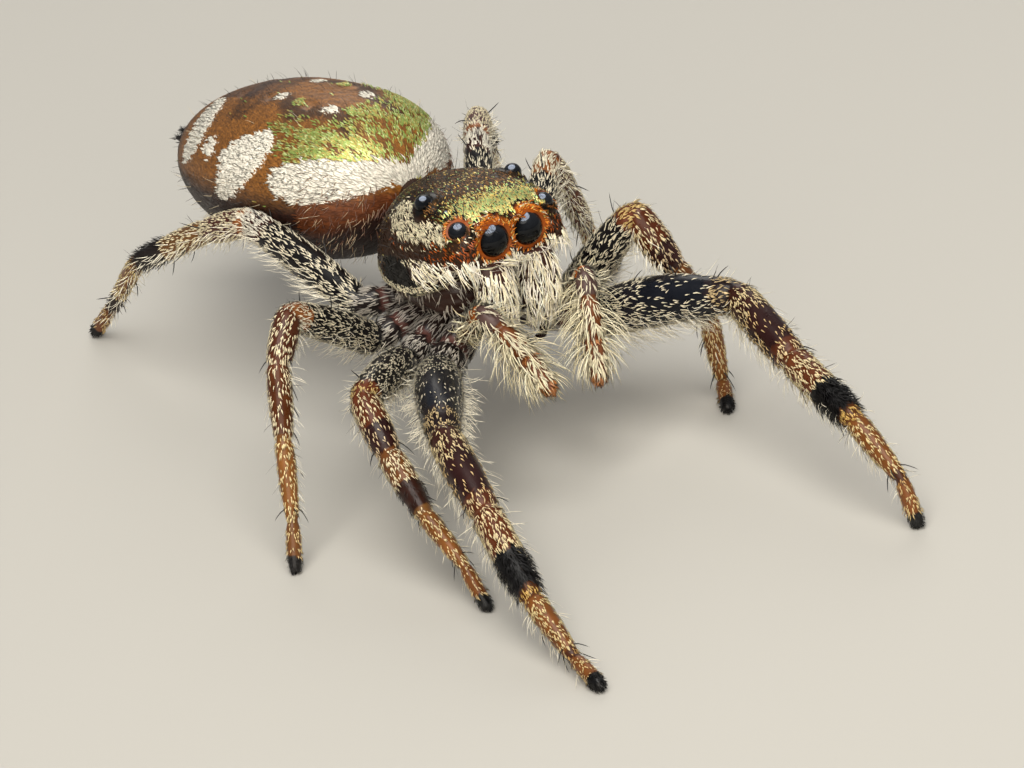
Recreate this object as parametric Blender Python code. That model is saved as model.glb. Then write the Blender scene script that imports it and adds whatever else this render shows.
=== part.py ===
"""Jumping spider standing on a floor, life size, as eight-legged solids that meet face to face.

The spider faces -Y, its own left is +X and the soles of its feet lie on z = 0.
Sizes below are in millimetres and are turned to metres where a mesh is made.
"""
import math
import random

import bmesh
import bpy
from mathutils import Matrix, Vector
from mathutils.bvhtree import BVHTree

MM = 0.001
OBJECT_NAME = "jumping_spider"

# How the body is carried: height of the carapace's lower edge, nose up and lean to its left
MARGIN_HEIGHT = 3.10
NOSE_UP = 1.0
LEAN = 3.5
JOINT_GAP = 0.15

# Carapace, from the carapace's own frame: y = 0 at its middle, z = 0 near its lower edge
CARAPACE_SECTIONS = (
    # y, half width, height, how square the shoulders are, height of the underside
    (-1.88, 0.96, 1.04, 2.6, 0.46),
    (-1.78, 1.06, 1.22, 3.0, 0.42),
    (-1.50, 1.15, 1.38, 3.2, 0.38),
    (-1.12, 1.24, 1.45, 3.2, 0.30),
    (-0.95, 1.28, 1.47, 3.1, -0.12),
    (-0.50, 1.30, 1.50, 2.9, -0.30),
    (-0.05, 1.29, 1.46, 2.7, -0.36),
    (0.40, 1.21, 1.32, 2.4, -0.36),
    (0.80, 1.03, 1.08, 2.2, -0.30),
    (1.12, 0.80, 0.80, 2.1, -0.16),
    (1.35, 0.50, 0.50, 2.0, -0.05),
)
WALL_FOOT = -0.16  # where the upright side walls turn under

# Eyes: sideways, y and height of the centre in the carapace's frame, and radius
EYES = {
    "median_front": (0.33, -1.72, 0.82, 0.30),
    "side_front": (0.82, -1.58, 1.05, 0.175),
    "small": (0.79, -1.22, 1.25, 0.075),
    "rear": (0.87, -0.69, 1.33, 0.15),
}
SOCKET_GAP = 0.06
EYE_NODES = {
    "median_front": "eye_front_middle",
    "side_front": "eye_front_side",
    "small": "eye_small",
    "rear": "eye_rear",
}

# Underside: the breastplate, the eight hip stubs that leave it and the soft wall above them
STERNUM = {"length": 2.5, "width": 1.25, "depth": 0.85, "y": -0.15, "z": -0.78}
HIP_RADIUS = 0.36
FLANK = {"half_width": 0.98, "half_length": 1.17, "y": -0.05, "top": -0.41, "bottom": -0.70}
HIPS = {
    # leg number: where the hip leaves the middle (x, y) and where the thigh starts (x, y, z)
    1: ((0.35, -0.95), (1.56, -1.60, -1.18)),
    2: ((0.40, -0.40), (1.62, -0.74, -1.18)),
    3: ((0.40, 0.15), (1.55, 0.28, -1.12)),
    4: ((0.35, 0.65), (1.28, 1.12, -0.80)),
}

# Legs: lengths of thigh, knee piece, shin, forefoot and foot, and their half depths
LEG_LENGTHS = {
    1: (2.80, 1.75, 1.80, 1.25, 0.72),
    2: (2.20, 1.10, 1.25, 1.10, 0.70),
    3: (2.35, 0.90, 1.20, 1.30, 0.72),
    4: (2.75, 1.30, 1.95, 1.75, 0.85),
}
LEG_RADII = {
    1: (0.44, 0.34, 0.33, 0.24, 0.17),
    2: (0.36, 0.30, 0.29, 0.22, 0.16),
    3: (0.33, 0.28, 0.26, 0.21, 0.16),
    4: (0.34, 0.28, 0.26, 0.21, 0.16),
}
SIDE_SQUASH = 0.88

# Each leg's pose: bearing of the five pieces, degrees forward of straight out, and the rise of
# the first four; the foot's own rise follows from reaching the floor
THIGH_SHAPES = {
    # pair: swell of the middle, rise of the middle
    1: (1.20, 0.12),
    2: (1.12, 0.05),
    3: (1.08, 0.04),
    4: (1.08, 0.05),
}
POSES = {
    ("R", 1): ((59, 76, 78, 85, 84), (6, -22, -28, -27)),
    ("R", 2): ((40, 77, 83, 90, 88), (12, -34, -33, -31)),
    ("R", 3): ((19, 36, 49, 53, 45), (36, -36, -60, -60)),
    ("R", 4): ((-82, -79, -71, -88, -79), (19, -20, -26, -45)),
    ("L", 1): ((64, 97, 96, 89, 80), (13, -18, -14, -34)),
    ("L", 2): ((58, 49, 10, 75, 121), (49, -63, -67, -86)),
    ("L", 3): ((-41, -25, -39, -41, -42), (34, -60, -58, -64)),
    ("L", 4): ((-56, -56, -57, -58, -58), (23, -8, -38, -56)),
}
SOLE_LIFT = 0.12
SOLE_RADIUS = 0.18

# Abdomen: an egg hung behind the waist
ABDOMEN = {
    "centre": (0.19, 4.88, 3.26),
    "length": 6.45,
    "width": 3.60,
    "height": 2.95,
    "droop": 6.0,
    "yaw": 4.7,
    "roll": -3.0,
    "front_bluntness": 2.9,
    "tail_bluntness": 1.75,
    "taper": 0.06,
}

# Jaws: two boxes with rounded sides below the face, and the two fangs folded under them
JAW = {"x": 0.42, "half_width": 0.34, "front": -2.02, "back": -1.42, "top": 0.22, "bottom": -0.85}
WAIST = {"radius": 0.26}
SPINNERET = {"radius": 0.22, "length": 0.75}

# Feelers: lengths and half depths of their three pieces, bearings and rises
PALP_LENGTHS = (1.05, 0.42, 0.62, 0.72)
PALP_RADII = (0.20, 0.21, 0.22, 0.24)
PALP_ROOT = (1.02, -1.62, -0.72)
PALP_POSES = {
    "R": ((88, 112, 104, 90), (43, -37, -41, -34)),
    "L": ((92, 124, 126, 124), (44, -53, -60, -62)),
}

# Locks of the bristly coat, each row of them as: shares along the piece, degrees round it from
# its upper side, length, lean towards the tip in degrees
LOCK_WIDTH = 0.30
LOCK_THICKNESS = 0.17
LOCK_CLEARANCE = 0.20
SHORTEST_LOCK = 0.22
LIMB_LOCKS = {
    "palp_tibia": (((0.22, 0.72), (50, 103, 154, 206, 257, 310), 0.50, 42),),
    "palp_tarsus": (
        ((0.15, 0.50), (0, 51, 103, 154, 206, 257, 309), 0.52, 46),
        ((0.85,), (30, 90, 150, 210, 270, 330), 0.34, 60),
    ),
    "leg_1_femur": (((0.14, 0.30, 0.46, 0.62, 0.78, 0.92), (162, 198), 0.55, 40),),
    "leg_1_patella": (((0.25, 0.55, 0.85), (160, 200), 0.42, 48),),
    "leg_1_tibia": (
        ((0.22, 0.42), (155, 205), 0.40, 48),
        ((0.64, 0.86), (0, 72, 144, 216, 288), 0.34, 55),
    ),
    "leg_2_femur": (((0.2, 0.45, 0.7, 0.9), (180,), 0.42, 42),),
    "leg_3_femur": (((0.2, 0.45, 0.7, 0.9), (180,), 0.42, 42),),
    "leg_4_femur": (((0.2, 0.45, 0.7, 0.9), (180,), 0.42, 42),),
}
JAW_LOCKS = {"across": (-0.22, 0.0, 0.22), "heights": (0.02, -0.24, -0.50), "length": 0.52, "lean": 66}
FACE_LOCKS = (
    # sideways, y and height of the root in the carapace's frame, way it leaves, length
    (0.18, -1.88, 0.62, (0.0, -0.75, -0.65), 0.50),
    (0.50, -1.86, 0.62, (0.1, -0.75, -0.65), 0.50),
    (0.82, -1.80, 0.66, (0.3, -0.65, -0.70), 0.50),
    (1.08, -1.50, 0.60, (0.7, -0.35, -0.62), 0.50),
    (1.17, -1.20, 0.46, (0.7, -0.25, -0.66), 0.46),
    (1.24, -0.88, 0.26, (0.7, -0.20, -0.68), 0.42),
    (1.28, -0.50, 0.22, (0.7, -0.15, -0.68), 0.36),
)

COLOURS = {
    # name: base colour, roughness, metallic
    "carapace": ((0.035, 0.020, 0.010), 0.25, 0.0),
    "abdomen": ((0.180, 0.055, 0.015), 0.45, 0.0),
    "leg": ((0.050, 0.022, 0.012), 0.50, 0.0),
    "amber": ((0.330, 0.120, 0.035), 0.50, 0.0),
    "eye": ((0.002, 0.002, 0.003), 0.04, 0.0),
    "hair": ((0.620, 0.520, 0.360), 0.70, 0.0),
}


def clear_scene():
    for old in list(bpy.data.objects):
        bpy.data.objects.remove(old, do_unlink=True)


def material(kind):
    found = bpy.data.materials.get(kind)
    if found:
        return found
    colour, roughness, metallic = COLOURS[kind]
    made = bpy.data.materials.new(kind)
    made.use_nodes = True
    shader = made.node_tree.nodes["Principled BSDF"]
    shader.inputs["Base Color"].default_value = (*colour, 1.0)
    shader.inputs["Roughness"].default_value = roughness
    shader.inputs["Metallic"].default_value = metallic
    return made


def add_object(name, bm, kind, collection):
    """Turns a bmesh into one named object with its faces outwards, still in millimetres."""
    bmesh.ops.remove_doubles(bm, verts=bm.verts, dist=1e-4)
    bmesh.ops.recalc_face_normals(bm, faces=bm.faces)
    mesh = bpy.data.meshes.new(name)
    bm.to_mesh(mesh)
    bm.free()
    mesh.materials.append(material(kind))
    mesh.shade_smooth()
    made = bpy.data.objects.new(name, mesh)
    if collection.hide_render:
        made.display_type = "WIRE"
    collection.objects.link(made)
    return made


def loft(bm, rings):
    """Skins a row of rings that all hold the same number of points, and closes both ends."""
    loops = [[bm.verts.new(point) for point in ring] for ring in rings]
    count = len(loops[0])
    for first, second in zip(loops, loops[1:]):
        for i in range(count):
            j = (i + 1) % count
            bm.faces.new((first[i], first[j], second[j], second[i]))
    bm.faces.new(loops[0][::-1])
    bm.faces.new(loops[-1])
    bmesh.ops.triangulate(bm, faces=[f for f in bm.faces if len(f.verts) > 4])


def cut(bm, point, outward):
    """Cuts off all that lies past a plane and closes the cut with one flat face."""
    geometry = bm.verts[:] + bm.edges[:] + bm.faces[:]
    found = bmesh.ops.bisect_plane(
        bm, geom=geometry, dist=1e-6, plane_co=point, plane_no=outward, clear_outer=True
    )
    edges = [e for e in found["geom_cut"] if isinstance(e, bmesh.types.BMEdge)]
    bmesh.ops.holes_fill(bm, edges=edges, sides=0)


def direction(side, bearing, rise):
    across = 1 if side == "L" else -1
    a, e = math.radians(bearing), math.radians(rise)
    return Vector((across * math.cos(a) * math.cos(e), -math.sin(a) * math.cos(e), math.sin(e)))


def carapace_frame():
    """The carapace's own frame in the stance: raised, nose up and leaning."""
    lean = Matrix.Rotation(math.radians(LEAN), 4, "Y")
    nose = Matrix.Rotation(math.radians(-NOSE_UP), 4, "X")
    return Matrix.Translation((0, 0, MARGIN_HEIGHT)) @ lean @ nose


def abdomen_frame():
    turn = Matrix.Rotation(math.radians(ABDOMEN["yaw"]), 4, "Z")
    droop = Matrix.Rotation(math.radians(-ABDOMEN["droop"]), 4, "X")
    roll = Matrix.Rotation(math.radians(ABDOMEN["roll"]), 4, "Y")
    return Matrix.Translation(ABDOMEN["centre"]) @ turn @ droop @ roll


def arch(half_width, height, power, floor, count=11):
    """Half-oval points over a flat underside, squarer as the power grows."""
    base = max(floor + 0.10, WALL_FOOT)
    points = []
    for i in range(count):
        angle = math.pi * i / (count - 1)
        c, s = math.cos(angle), math.sin(angle)
        x = half_width * math.copysign(abs(c) ** (2 / power), c)
        points.append((x, base + (height - base) * abs(s) ** (2 / power)))
    return points + [(-half_width * 0.9, floor), (0, floor), (half_width * 0.9, floor)]


def eye_place(kind, side):
    x, y, z, radius = EYES[kind]
    return Vector((x if side == "L" else -x, y, z)), radius


def make_eyes(frame, collection):
    for kind, name in EYE_NODES.items():
        for side in ("R", "L"):
            centre, radius = eye_place(kind, side)
            bm = bmesh.new()
            bmesh.ops.create_uvsphere(bm, u_segments=16, v_segments=8, radius=radius)
            bmesh.ops.transform(bm, matrix=frame @ Matrix.Translation(centre), verts=bm.verts)
            add_object(f"{name}_{side}", bm, "eye", collection)


def eye_sockets(frame, cutters):
    """Balls a little larger than the eyes, which cut their sockets."""
    for kind in EYES:
        for side in ("R", "L"):
            centre, radius = eye_place(kind, side)
            bm = bmesh.new()
            place = frame @ Matrix.Translation(centre)
            bmesh.ops.create_icosphere(bm, subdivisions=2, radius=radius + SOCKET_GAP, matrix=place)
            add_object(f"socket_{kind}_{side}", bm, "eye", cutters)


def combine(base, operation, helpers):
    """Applies one Boolean with every mesh of the helpers' collection, then removes those meshes."""
    modifier = base.modifiers.new("combine", "BOOLEAN")
    modifier.operation = operation
    modifier.operand_type = "COLLECTION"
    modifier.collection = helpers
    modifier.solver = "EXACT"
    keep_evaluated(base)
    for helper in list(helpers.objects):
        bpy.data.objects.remove(helper, do_unlink=True)


def keep_evaluated(obj):
    """Applies the object's modifiers and keeps its largest closed surface."""
    bpy.context.view_layer.update()
    graph = bpy.context.evaluated_depsgraph_get()
    mesh = bpy.data.meshes.new_from_object(obj.evaluated_get(graph))
    obj.modifiers.clear()
    bm = bmesh.new()
    bm.from_mesh(mesh)
    bmesh.ops.remove_doubles(bm, verts=bm.verts, dist=1e-4)
    bmesh.ops.dissolve_degenerate(bm, edges=bm.edges, dist=1e-4)
    bmesh.ops.triangulate(bm, faces=bm.faces)
    loose = set(bm.verts)
    shells = []
    while loose:
        stack = [loose.pop()]
        shell = set(stack)
        while stack:
            for edge in stack.pop().link_edges:
                for vert in edge.verts:
                    if vert in loose:
                        loose.discard(vert)
                        shell.add(vert)
                        stack.append(vert)
        shells.append(shell)
    largest = max(shells, key=len)
    bmesh.ops.delete(bm, geom=[v for v in bm.verts if v not in largest], context="VERTS")
    bm.to_mesh(mesh)
    bm.free()
    obj.data = mesh


def make_carapace(frame, collection, cutters):
    bm = bmesh.new()
    rings = []
    for y, half_width, height, power, floor in CARAPACE_SECTIONS:
        points = arch(half_width, height, power, floor)
        rings.append([frame @ Vector((x, y, z)) for x, z in points])
    loft(bm, rings)
    shell = add_object("carapace", bm, "carapace", collection)
    eye_sockets(frame, cutters)
    combine(shell, "DIFFERENCE", cutters)


def make_sternum(frame, collection, cutters):
    """Breastplate with the eight hip stubs fused on, each ending square to its own thigh."""
    bm = bmesh.new()
    size = STERNUM
    place = frame @ Matrix.Translation((0, size["y"], size["z"]))
    bmesh.ops.create_uvsphere(bm, u_segments=20, v_segments=12, radius=1.0)
    bmesh.ops.scale(bm, vec=(size["width"] / 2, size["length"] / 2, size["depth"] / 2), verts=bm.verts)
    bmesh.ops.transform(bm, matrix=place, verts=bm.verts)
    plate = add_object("breastplate", bm, "leg", collection)
    rings = []
    for share, grow in ((0.0, 0.84), (0.35, 0.98), (0.75, 1.0), (1.0, 0.93)):
        z = FLANK["bottom"] + (FLANK["top"] - FLANK["bottom"]) * share
        rings.append([frame @ point for point in flank_ring(grow, z)])
    bm = bmesh.new()
    loft(bm, rings)
    add_object("flank", bm, "leg", cutters)
    for side in ("R", "L"):
        for number in HIPS:
            root, thigh = hip_points(frame, side, number)
            along = (thigh - root).normalized()
            after = direction(side, POSES[side, number][0][0], POSES[side, number][1][0])
            rings = limb_rings([root, thigh + along * 0.3], [HIP_RADIUS, HIP_RADIUS], 1.0, (1.0, 1.0))
            bm = bmesh.new()
            loft(bm, rings)
            normal = (along + after).normalized()
            cut(bm, thigh - normal * JOINT_GAP / 2, normal)
            add_object(f"hip_{side}{number}", bm, "leg", cutters)
    combine(plate, "UNION", cutters)


def flank_ring(grow, z, sides=24):
    """One level outline of the soft wall between the hips and the carapace, nearly square-ended."""
    ring = []
    for k in range(sides):
        angle = 2 * math.pi * k / sides
        c, s = math.cos(angle), math.sin(angle)
        x = FLANK["half_width"] * grow * math.copysign(abs(c) ** 0.7, c)
        y = FLANK["y"] + FLANK["half_length"] * grow * math.copysign(abs(s) ** 0.7, s)
        ring.append(Vector((x, y, z)))
    return ring


def hip_points(frame, side, number):
    across = 1 if side == "L" else -1
    (x, y), (a, b, c) = HIPS[number]
    return frame @ Vector((across * x, y, STERNUM["z"])), frame @ Vector((across * a, b, c))


def limb_rings(points, radii, squash, swell, bow=0.0, sides=12, steps=6):
    """Round-sectioned rings along a row of points; squash flattens them sideways, and swell
    thickens and bow raises the middle of a straight piece."""
    points = [Vector(p) for p in points]
    if len(points) == 2:
        first, last = points
        stations = [i / (steps - 1) for i in range(steps)]
        points = [first.lerp(last, t) + Vector((0, 0, bow * math.sin(math.pi * t))) for t in stations]
        low, high = swell
        radii = [
            (radii[0] + (radii[1] - radii[0]) * t) * (low + (high - low) * math.sin(math.pi * t))
            for t in stations
        ]
    rings = []
    for i, (point, radius) in enumerate(zip(points, radii)):
        before = points[max(i - 1, 0)]
        after = points[min(i + 1, len(points) - 1)]
        along = (after - before).normalized()
        across = along.cross(Vector((0, 0, 1)))
        if across.length < 1e-3:
            across = Vector((1, 0, 0))
        across.normalize()
        over = across.cross(along)
        ring = []
        for k in range(sides):
            angle = 2 * math.pi * k / sides
            offset = across * math.cos(angle) * squash + over * math.sin(angle)
            ring.append(point + offset * radius)
        rings.append(ring)
    return rings


def leg_points(frame, side, number):
    """The leg's joints from the thigh's start to the foot, the last at the sole's height."""
    bearings, rises = POSES[side, number]
    lengths = LEG_LENGTHS[number]
    points = [hip_points(frame, side, number)[1]]
    for length, bearing, rise in zip(lengths, bearings, rises):
        points.append(points[-1] + length * direction(side, bearing, rise))
    drop = min(0.97, (points[-1].z - SOLE_LIFT) / lengths[4])
    rise = -math.degrees(math.asin(drop))
    points.append(points[-1] + lengths[4] * direction(side, bearings[4], rise))
    return points


def straight_piece(points, index, radii, before, after, swell=1.08, bow=0.0):
    """One limb piece between two joints, cut square to the bend at each end."""
    start, end = points[index], points[index + 1]
    along = (end - start).normalized()
    reach = 0.3
    rings = limb_rings([start - along * reach, end + along * reach], radii, SIDE_SQUASH, (0.90, swell), bow)
    bm = bmesh.new()
    loft(bm, rings)
    lower = (before + along).normalized()
    cut(bm, start + lower * JOINT_GAP / 2, -lower)
    if after is not None:
        upper = (along + after).normalized()
        cut(bm, end - upper * JOINT_GAP / 2, upper)
    return bm


def make_leg(frame, side, number, collection):
    points = leg_points(frame, side, number)
    radii = LEG_RADII[number]
    ways = [(b - a).normalized() for a, b in zip(points, points[1:])]
    root, thigh = hip_points(frame, side, number)
    before = (thigh - root).normalized()
    for index, name in enumerate(("femur", "patella", "tibia")):
        ends = (radii[index], (radii[index] + radii[index + 1]) / 2 * 0.98)
        shape = THIGH_SHAPES[number] if index == 0 else (1.08, 0.0)
        bm = straight_piece(points, index, ends, before, ways[index + 1], *shape)
        add_object(f"leg_{side}{number}_{name}", bm, "leg" if index < 2 else "amber", collection)
        before = ways[index]
    bm = bmesh.new()
    start = points[3] - ways[3] * 0.3
    middle = points[3].lerp(points[4], 0.55)
    near_tip = points[4].lerp(points[5], 0.6)
    path = [start, points[3], middle, points[4], near_tip, points[5], points[5] + ways[4] * 0.16]
    sizes = [radii[3], radii[3], radii[3] * 0.95, radii[4], radii[4] * 0.95, SOLE_RADIUS, 0.08]
    loft(bm, limb_rings(path, sizes, 1.0, None, sides=10))
    lower = (before + ways[3]).normalized()
    cut(bm, points[3] + lower * JOINT_GAP / 2, -lower)
    cut(bm, Vector((0, 0, 0)), Vector((0, 0, -1)))
    add_object(f"leg_{side}{number}_foot", bm, "amber", collection)


def make_lock(name, root, way, along, length, helpers):
    """One flat lock that tapers and bends over towards along, its root sunk in what it grows from."""
    way, along = way.normalized(), along.normalized()
    side = along.cross(way)
    if side.length < 1e-3:
        side = Vector((1, 0, 0))
    side.normalize()
    rings = []
    for share, size in ((0.0, 1.0), (0.40, 0.95), (0.75, 0.60)):
        centre = root + way * (length * share) + along * (length * 0.22 * share * share)
        over = side.cross(way)
        half_width, half_thickness = LOCK_WIDTH / 2 * size, LOCK_THICKNESS / 2 * size
        rings.append([
            centre + side * half_width, centre + over * half_thickness,
            centre - side * half_width, centre - over * half_thickness,
        ])
    tip = root + way * length + along * (length * 0.22)
    rings.append([tip + (point - rings[2][0] * 0.5 - rings[2][2] * 0.5) * 0.18 for point in rings[2]])
    bm = bmesh.new()
    loft(bm, rings)
    return add_object(name, bm, "hair", helpers)


def room_for_lock(own, root, way, along, length, solids, placed):
    """The length that keeps a lock clear of the other nodes and of their locks, or nothing."""
    while length >= SHORTEST_LOCK:
        points = [root + way * (length * t) + along * (length * 0.22 * t * t) for t in (0.45, 0.7, 0.9, 1.0)]
        clear = all(point.z > LOCK_CLEARANCE for point in points)
        for name, tree in solids.items():
            if name != own and clear:
                clear = all(tree.find_nearest(p, LOCK_CLEARANCE)[0] is None for p in points)
        for name, point in placed:
            if name != own and clear:
                clear = all((p - point).length > LOCK_CLEARANCE + LOCK_WIDTH / 2 for p in points)
        if clear:
            placed.extend((own, p) for p in points)
            return length
        length *= 0.85
    return None


def limb_lock_places(points, index, radii, rows):
    """Root, outward way and the way along for each lock of one straight limb piece."""
    start, end = points[index], points[index + 1]
    along = (end - start).normalized()
    across = along.cross(Vector((0, 0, 1)))
    if across.length < 1e-3:
        across = Vector((1, 0, 0))
    across.normalize()
    over = across.cross(along)
    for shares, angles, length, lean in rows:
        for row, share in enumerate(shares):
            for angle in angles:
                turn = math.radians(angle + (9 if row % 2 else -9))
                out = over * math.cos(turn) + across * math.sin(turn)
                radius = radii[0] + (radii[1] - radii[0]) * share
                tilt = math.radians(lean)
                way = out * math.cos(tilt) + along * math.sin(tilt)
                yield start.lerp(end, share) + out * radius * 0.45, way, along, length


def grow_locks(frame, collection, helpers):
    """Fuses the bristly coat's locks on the feelers, thighs, shins, jaws and face."""
    draw = random.Random(7)
    solids = {}
    for obj in collection.objects:
        mesh = obj.data
        solids[obj.name] = BVHTree.FromPolygons(
            [v.co for v in mesh.vertices], [f.vertices for f in mesh.polygons]
        )
    placed = []
    places = []
    for side in ("R", "L"):
        points = palp_points(frame, side)
        for index, piece in ((2, "tibia"), (3, "tarsus")):
            radii = (PALP_RADII[index], PALP_RADII[index] * (1.0 if index == 2 else 0.7))
            for place in limb_lock_places(points, index, radii, LIMB_LOCKS["palp_" + piece]):
                places.append((f"palp_{side}_{piece}", *place))
        for number in HIPS:
            points = leg_points(frame, side, number)
            for index, piece in enumerate(("femur", "patella", "tibia")):
                radii = LEG_RADII[number][index:index + 2]
                rows = LIMB_LOCKS.get(f"leg_{number}_{piece}", ())
                for place in limb_lock_places(points, index, radii, rows):
                    places.append((f"leg_{side}{number}_{piece}", *place))
        across = 1 if side == "L" else -1
        turn = frame.to_3x3()
        down, forward = turn @ Vector((0, 0, -1)), turn @ Vector((0, -1, 0))
        tilt = math.radians(JAW_LOCKS["lean"])
        for z in JAW_LOCKS["heights"]:
            for x in JAW_LOCKS["across"]:
                root = frame @ Vector((across * (JAW["x"] + x), JAW["front"] + 0.10, z))
                outward = (forward + turn @ Vector((across * x * 0.8, 0, 0))).normalized()
                way = outward * math.cos(tilt) + down * math.sin(tilt)
                places.append((f"chelicera_{side}", root, way, down, JAW_LOCKS["length"]))
        for x, y, z, (a, b, c), length in FACE_LOCKS:
            way = turn @ Vector((across * a, b, c)).normalized()
            root = frame @ Vector((across * (x - 0.10), y + 0.10, z))
            places.append(("carapace", root, way, down, length))
    grown = {}
    for name, root, way, along, length in places:
        length = room_for_lock(name, root, way, along, length * draw.uniform(0.92, 1.12), solids, placed)
        if length:
            grown.setdefault(name, []).append((root, way, along, length))
    for name, locks in grown.items():
        for number, (root, way, along, length) in enumerate(locks):
            make_lock(f"lock_{number}", root, way, along, length, helpers)
        combine(collection.objects[name], "UNION", helpers)
    print("locks:", {name: len(locks) for name, locks in sorted(grown.items())})


def make_jaws(frame, collection):
    jaw = JAW
    for side in ("R", "L"):
        across = 1 if side == "L" else -1
        rings = []
        for t in [i / 7 for i in range(8)]:
            z = jaw["top"] + (jaw["bottom"] - jaw["top"]) * t
            swell = 0.80 + 0.20 * math.sin(math.pi * min(1, 0.25 + t * 0.9)) ** 0.5
            if t > 0.8:
                swell *= 0.88
            forward = -0.10 * math.sin(math.pi * t)
            middle = Vector((across * jaw["x"], (jaw["front"] + jaw["back"]) / 2 + forward, z))
            depth = (jaw["back"] - jaw["front"]) / 2 * swell
            width = jaw["half_width"] * swell
            ring = []
            for k in range(14):
                angle = 2 * math.pi * k / 14
                c, s = math.cos(angle), math.sin(angle)
                x = width * math.copysign(abs(c) ** 0.7, c)
                y = depth * math.copysign(abs(s) ** 0.7, s)
                ring.append(frame @ (middle + Vector((x, y, 0))))
            rings.append(ring)
        bm = bmesh.new()
        loft(bm, rings)
        add_object(f"chelicera_{side}", bm, "leg", collection)
        tip = Vector((across * (jaw["x"] - 0.16), jaw["front"] + 0.46, jaw["bottom"] - JOINT_GAP - 0.30))
        root = Vector((across * jaw["x"], jaw["front"] + 0.26, jaw["bottom"] - JOINT_GAP))
        rings = limb_rings([frame @ root, frame @ root.lerp(tip, 0.5), frame @ tip], (0.12, 0.10, 0.03),
                           1.0, None, sides=8)
        bm = bmesh.new()
        loft(bm, rings)
        cut(bm, frame @ Vector((0, 0, jaw["bottom"] - JOINT_GAP)), Vector((0, 0, 1)))
        add_object(f"fang_{side}", bm, "leg", collection)


def palp_points(frame, side):
    across = 1 if side == "L" else -1
    x, y, z = PALP_ROOT
    points = [frame @ Vector((across * x, y, z))]
    bearings, rises = PALP_POSES[side]
    for length, bearing, rise in zip(PALP_LENGTHS, bearings, rises):
        points.append(points[-1] + length * direction(side, bearing, rise))
    return points


def make_palp(frame, side, collection):
    points = palp_points(frame, side)
    ways = [(b - a).normalized() for a, b in zip(points, points[1:])]
    before = ways[0]
    for index, name in enumerate(("femur", "patella", "tibia")):
        ends = (PALP_RADII[index], (PALP_RADII[index] + PALP_RADII[index + 1]) / 2)
        bm = straight_piece(points, index, ends, before, ways[index + 1])
        add_object(f"palp_{side}_{name}", bm, "leg", collection)
        before = ways[index]
    bm = bmesh.new()
    tip = points[4]
    path = [points[3] - ways[3] * 0.3, points[3], points[3].lerp(tip, 0.5), points[3].lerp(tip, 0.85), tip]
    radius = PALP_RADII[3]
    sizes = [radius * share for share in (0.9, 1.0, 1.0, 0.7, 0.35)]
    loft(bm, limb_rings(path, sizes, 1.0, None, sides=10))
    lower = (before + ways[3]).normalized()
    cut(bm, points[3] + lower * JOINT_GAP / 2, -lower)
    add_object(f"palp_{side}_tarsus", bm, "amber", collection)


def abdomen_ring(t, sides=22):
    """One ring of the abdomen; t runs from 0 at the waist to 1 at the tail."""
    size = ABDOMEN
    s = 2 * t - 1
    bluntness = size["front_bluntness"] if s < 0 else size["tail_bluntness"]
    round_end = math.sqrt(max(0.0, 1 - abs(s) ** bluntness))
    egg = 1 - size["taper"] * s
    half_width = size["width"] / 2 * round_end * egg
    half_height = size["height"] / 2 * round_end * egg
    y = size["length"] / 2 * s
    ring = []
    for k in range(sides):
        angle = 2 * math.pi * k / sides
        ring.append(Vector((half_width * math.cos(angle), y, half_height * math.sin(angle))))
    return ring


def make_abdomen(collection):
    frame = abdomen_frame()
    count = 18
    rings = []
    for i in range(count):
        t = 0.5 - 0.5 * math.cos(math.pi * (0.045 + 0.91 * i / (count - 1)))
        rings.append([frame @ point for point in abdomen_ring(t)])
    bm = bmesh.new()
    loft(bm, rings)
    add_object("abdomen", bm, "abdomen", collection)
    tail = frame @ Vector((0, ABDOMEN["length"] / 2 - 0.02 + JOINT_GAP, -0.05))
    back = (frame.to_3x3() @ Vector((0, 1, -0.12))).normalized()
    size = SPINNERET
    rings = limb_rings([tail, tail + back * size["length"] * 0.6, tail + back * size["length"]],
                       (size["radius"], size["radius"] * 0.8, size["radius"] * 0.35), 1.2, None, sides=10)
    bm = bmesh.new()
    loft(bm, rings)
    add_object("spinnerets", bm, "leg", collection)


def make_waist(frame, collection):
    """The short stalk between the back of the carapace and the front of the abdomen."""
    rear = frame @ Vector((0, CARAPACE_SECTIONS[-1][0] + JOINT_GAP, 0.12))
    front = abdomen_frame() @ Vector((0, -ABDOMEN["length"] / 2, 0))
    back = abdomen_frame().to_3x3() @ Vector((0, 1, 0))
    rings = limb_rings([rear, front], [WAIST["radius"]] * 2, 1.0, (1.0, 1.0), sides=10)
    bm = bmesh.new()
    loft(bm, rings)
    cut(bm, front - back * JOINT_GAP, back)
    add_object("waist", bm, "leg", collection)


def to_life_size(collection):
    """Scales every mesh to metres and puts the middle of the stance over the origin."""
    points = [v.co for obj in collection.objects for v in obj.data.vertices]
    middle_x = (min(p.x for p in points) + max(p.x for p in points)) / 2
    middle_y = (min(p.y for p in points) + max(p.y for p in points)) / 2
    place = Matrix.Scale(MM, 4) @ Matrix.Translation((-middle_x, -middle_y, 0))
    for obj in collection.objects:
        obj.data.transform(place)


def new_collection(name, hidden=False):
    made = bpy.data.collections.new(name)
    bpy.context.scene.collection.children.link(made)
    made.hide_render = hidden
    return made


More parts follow.
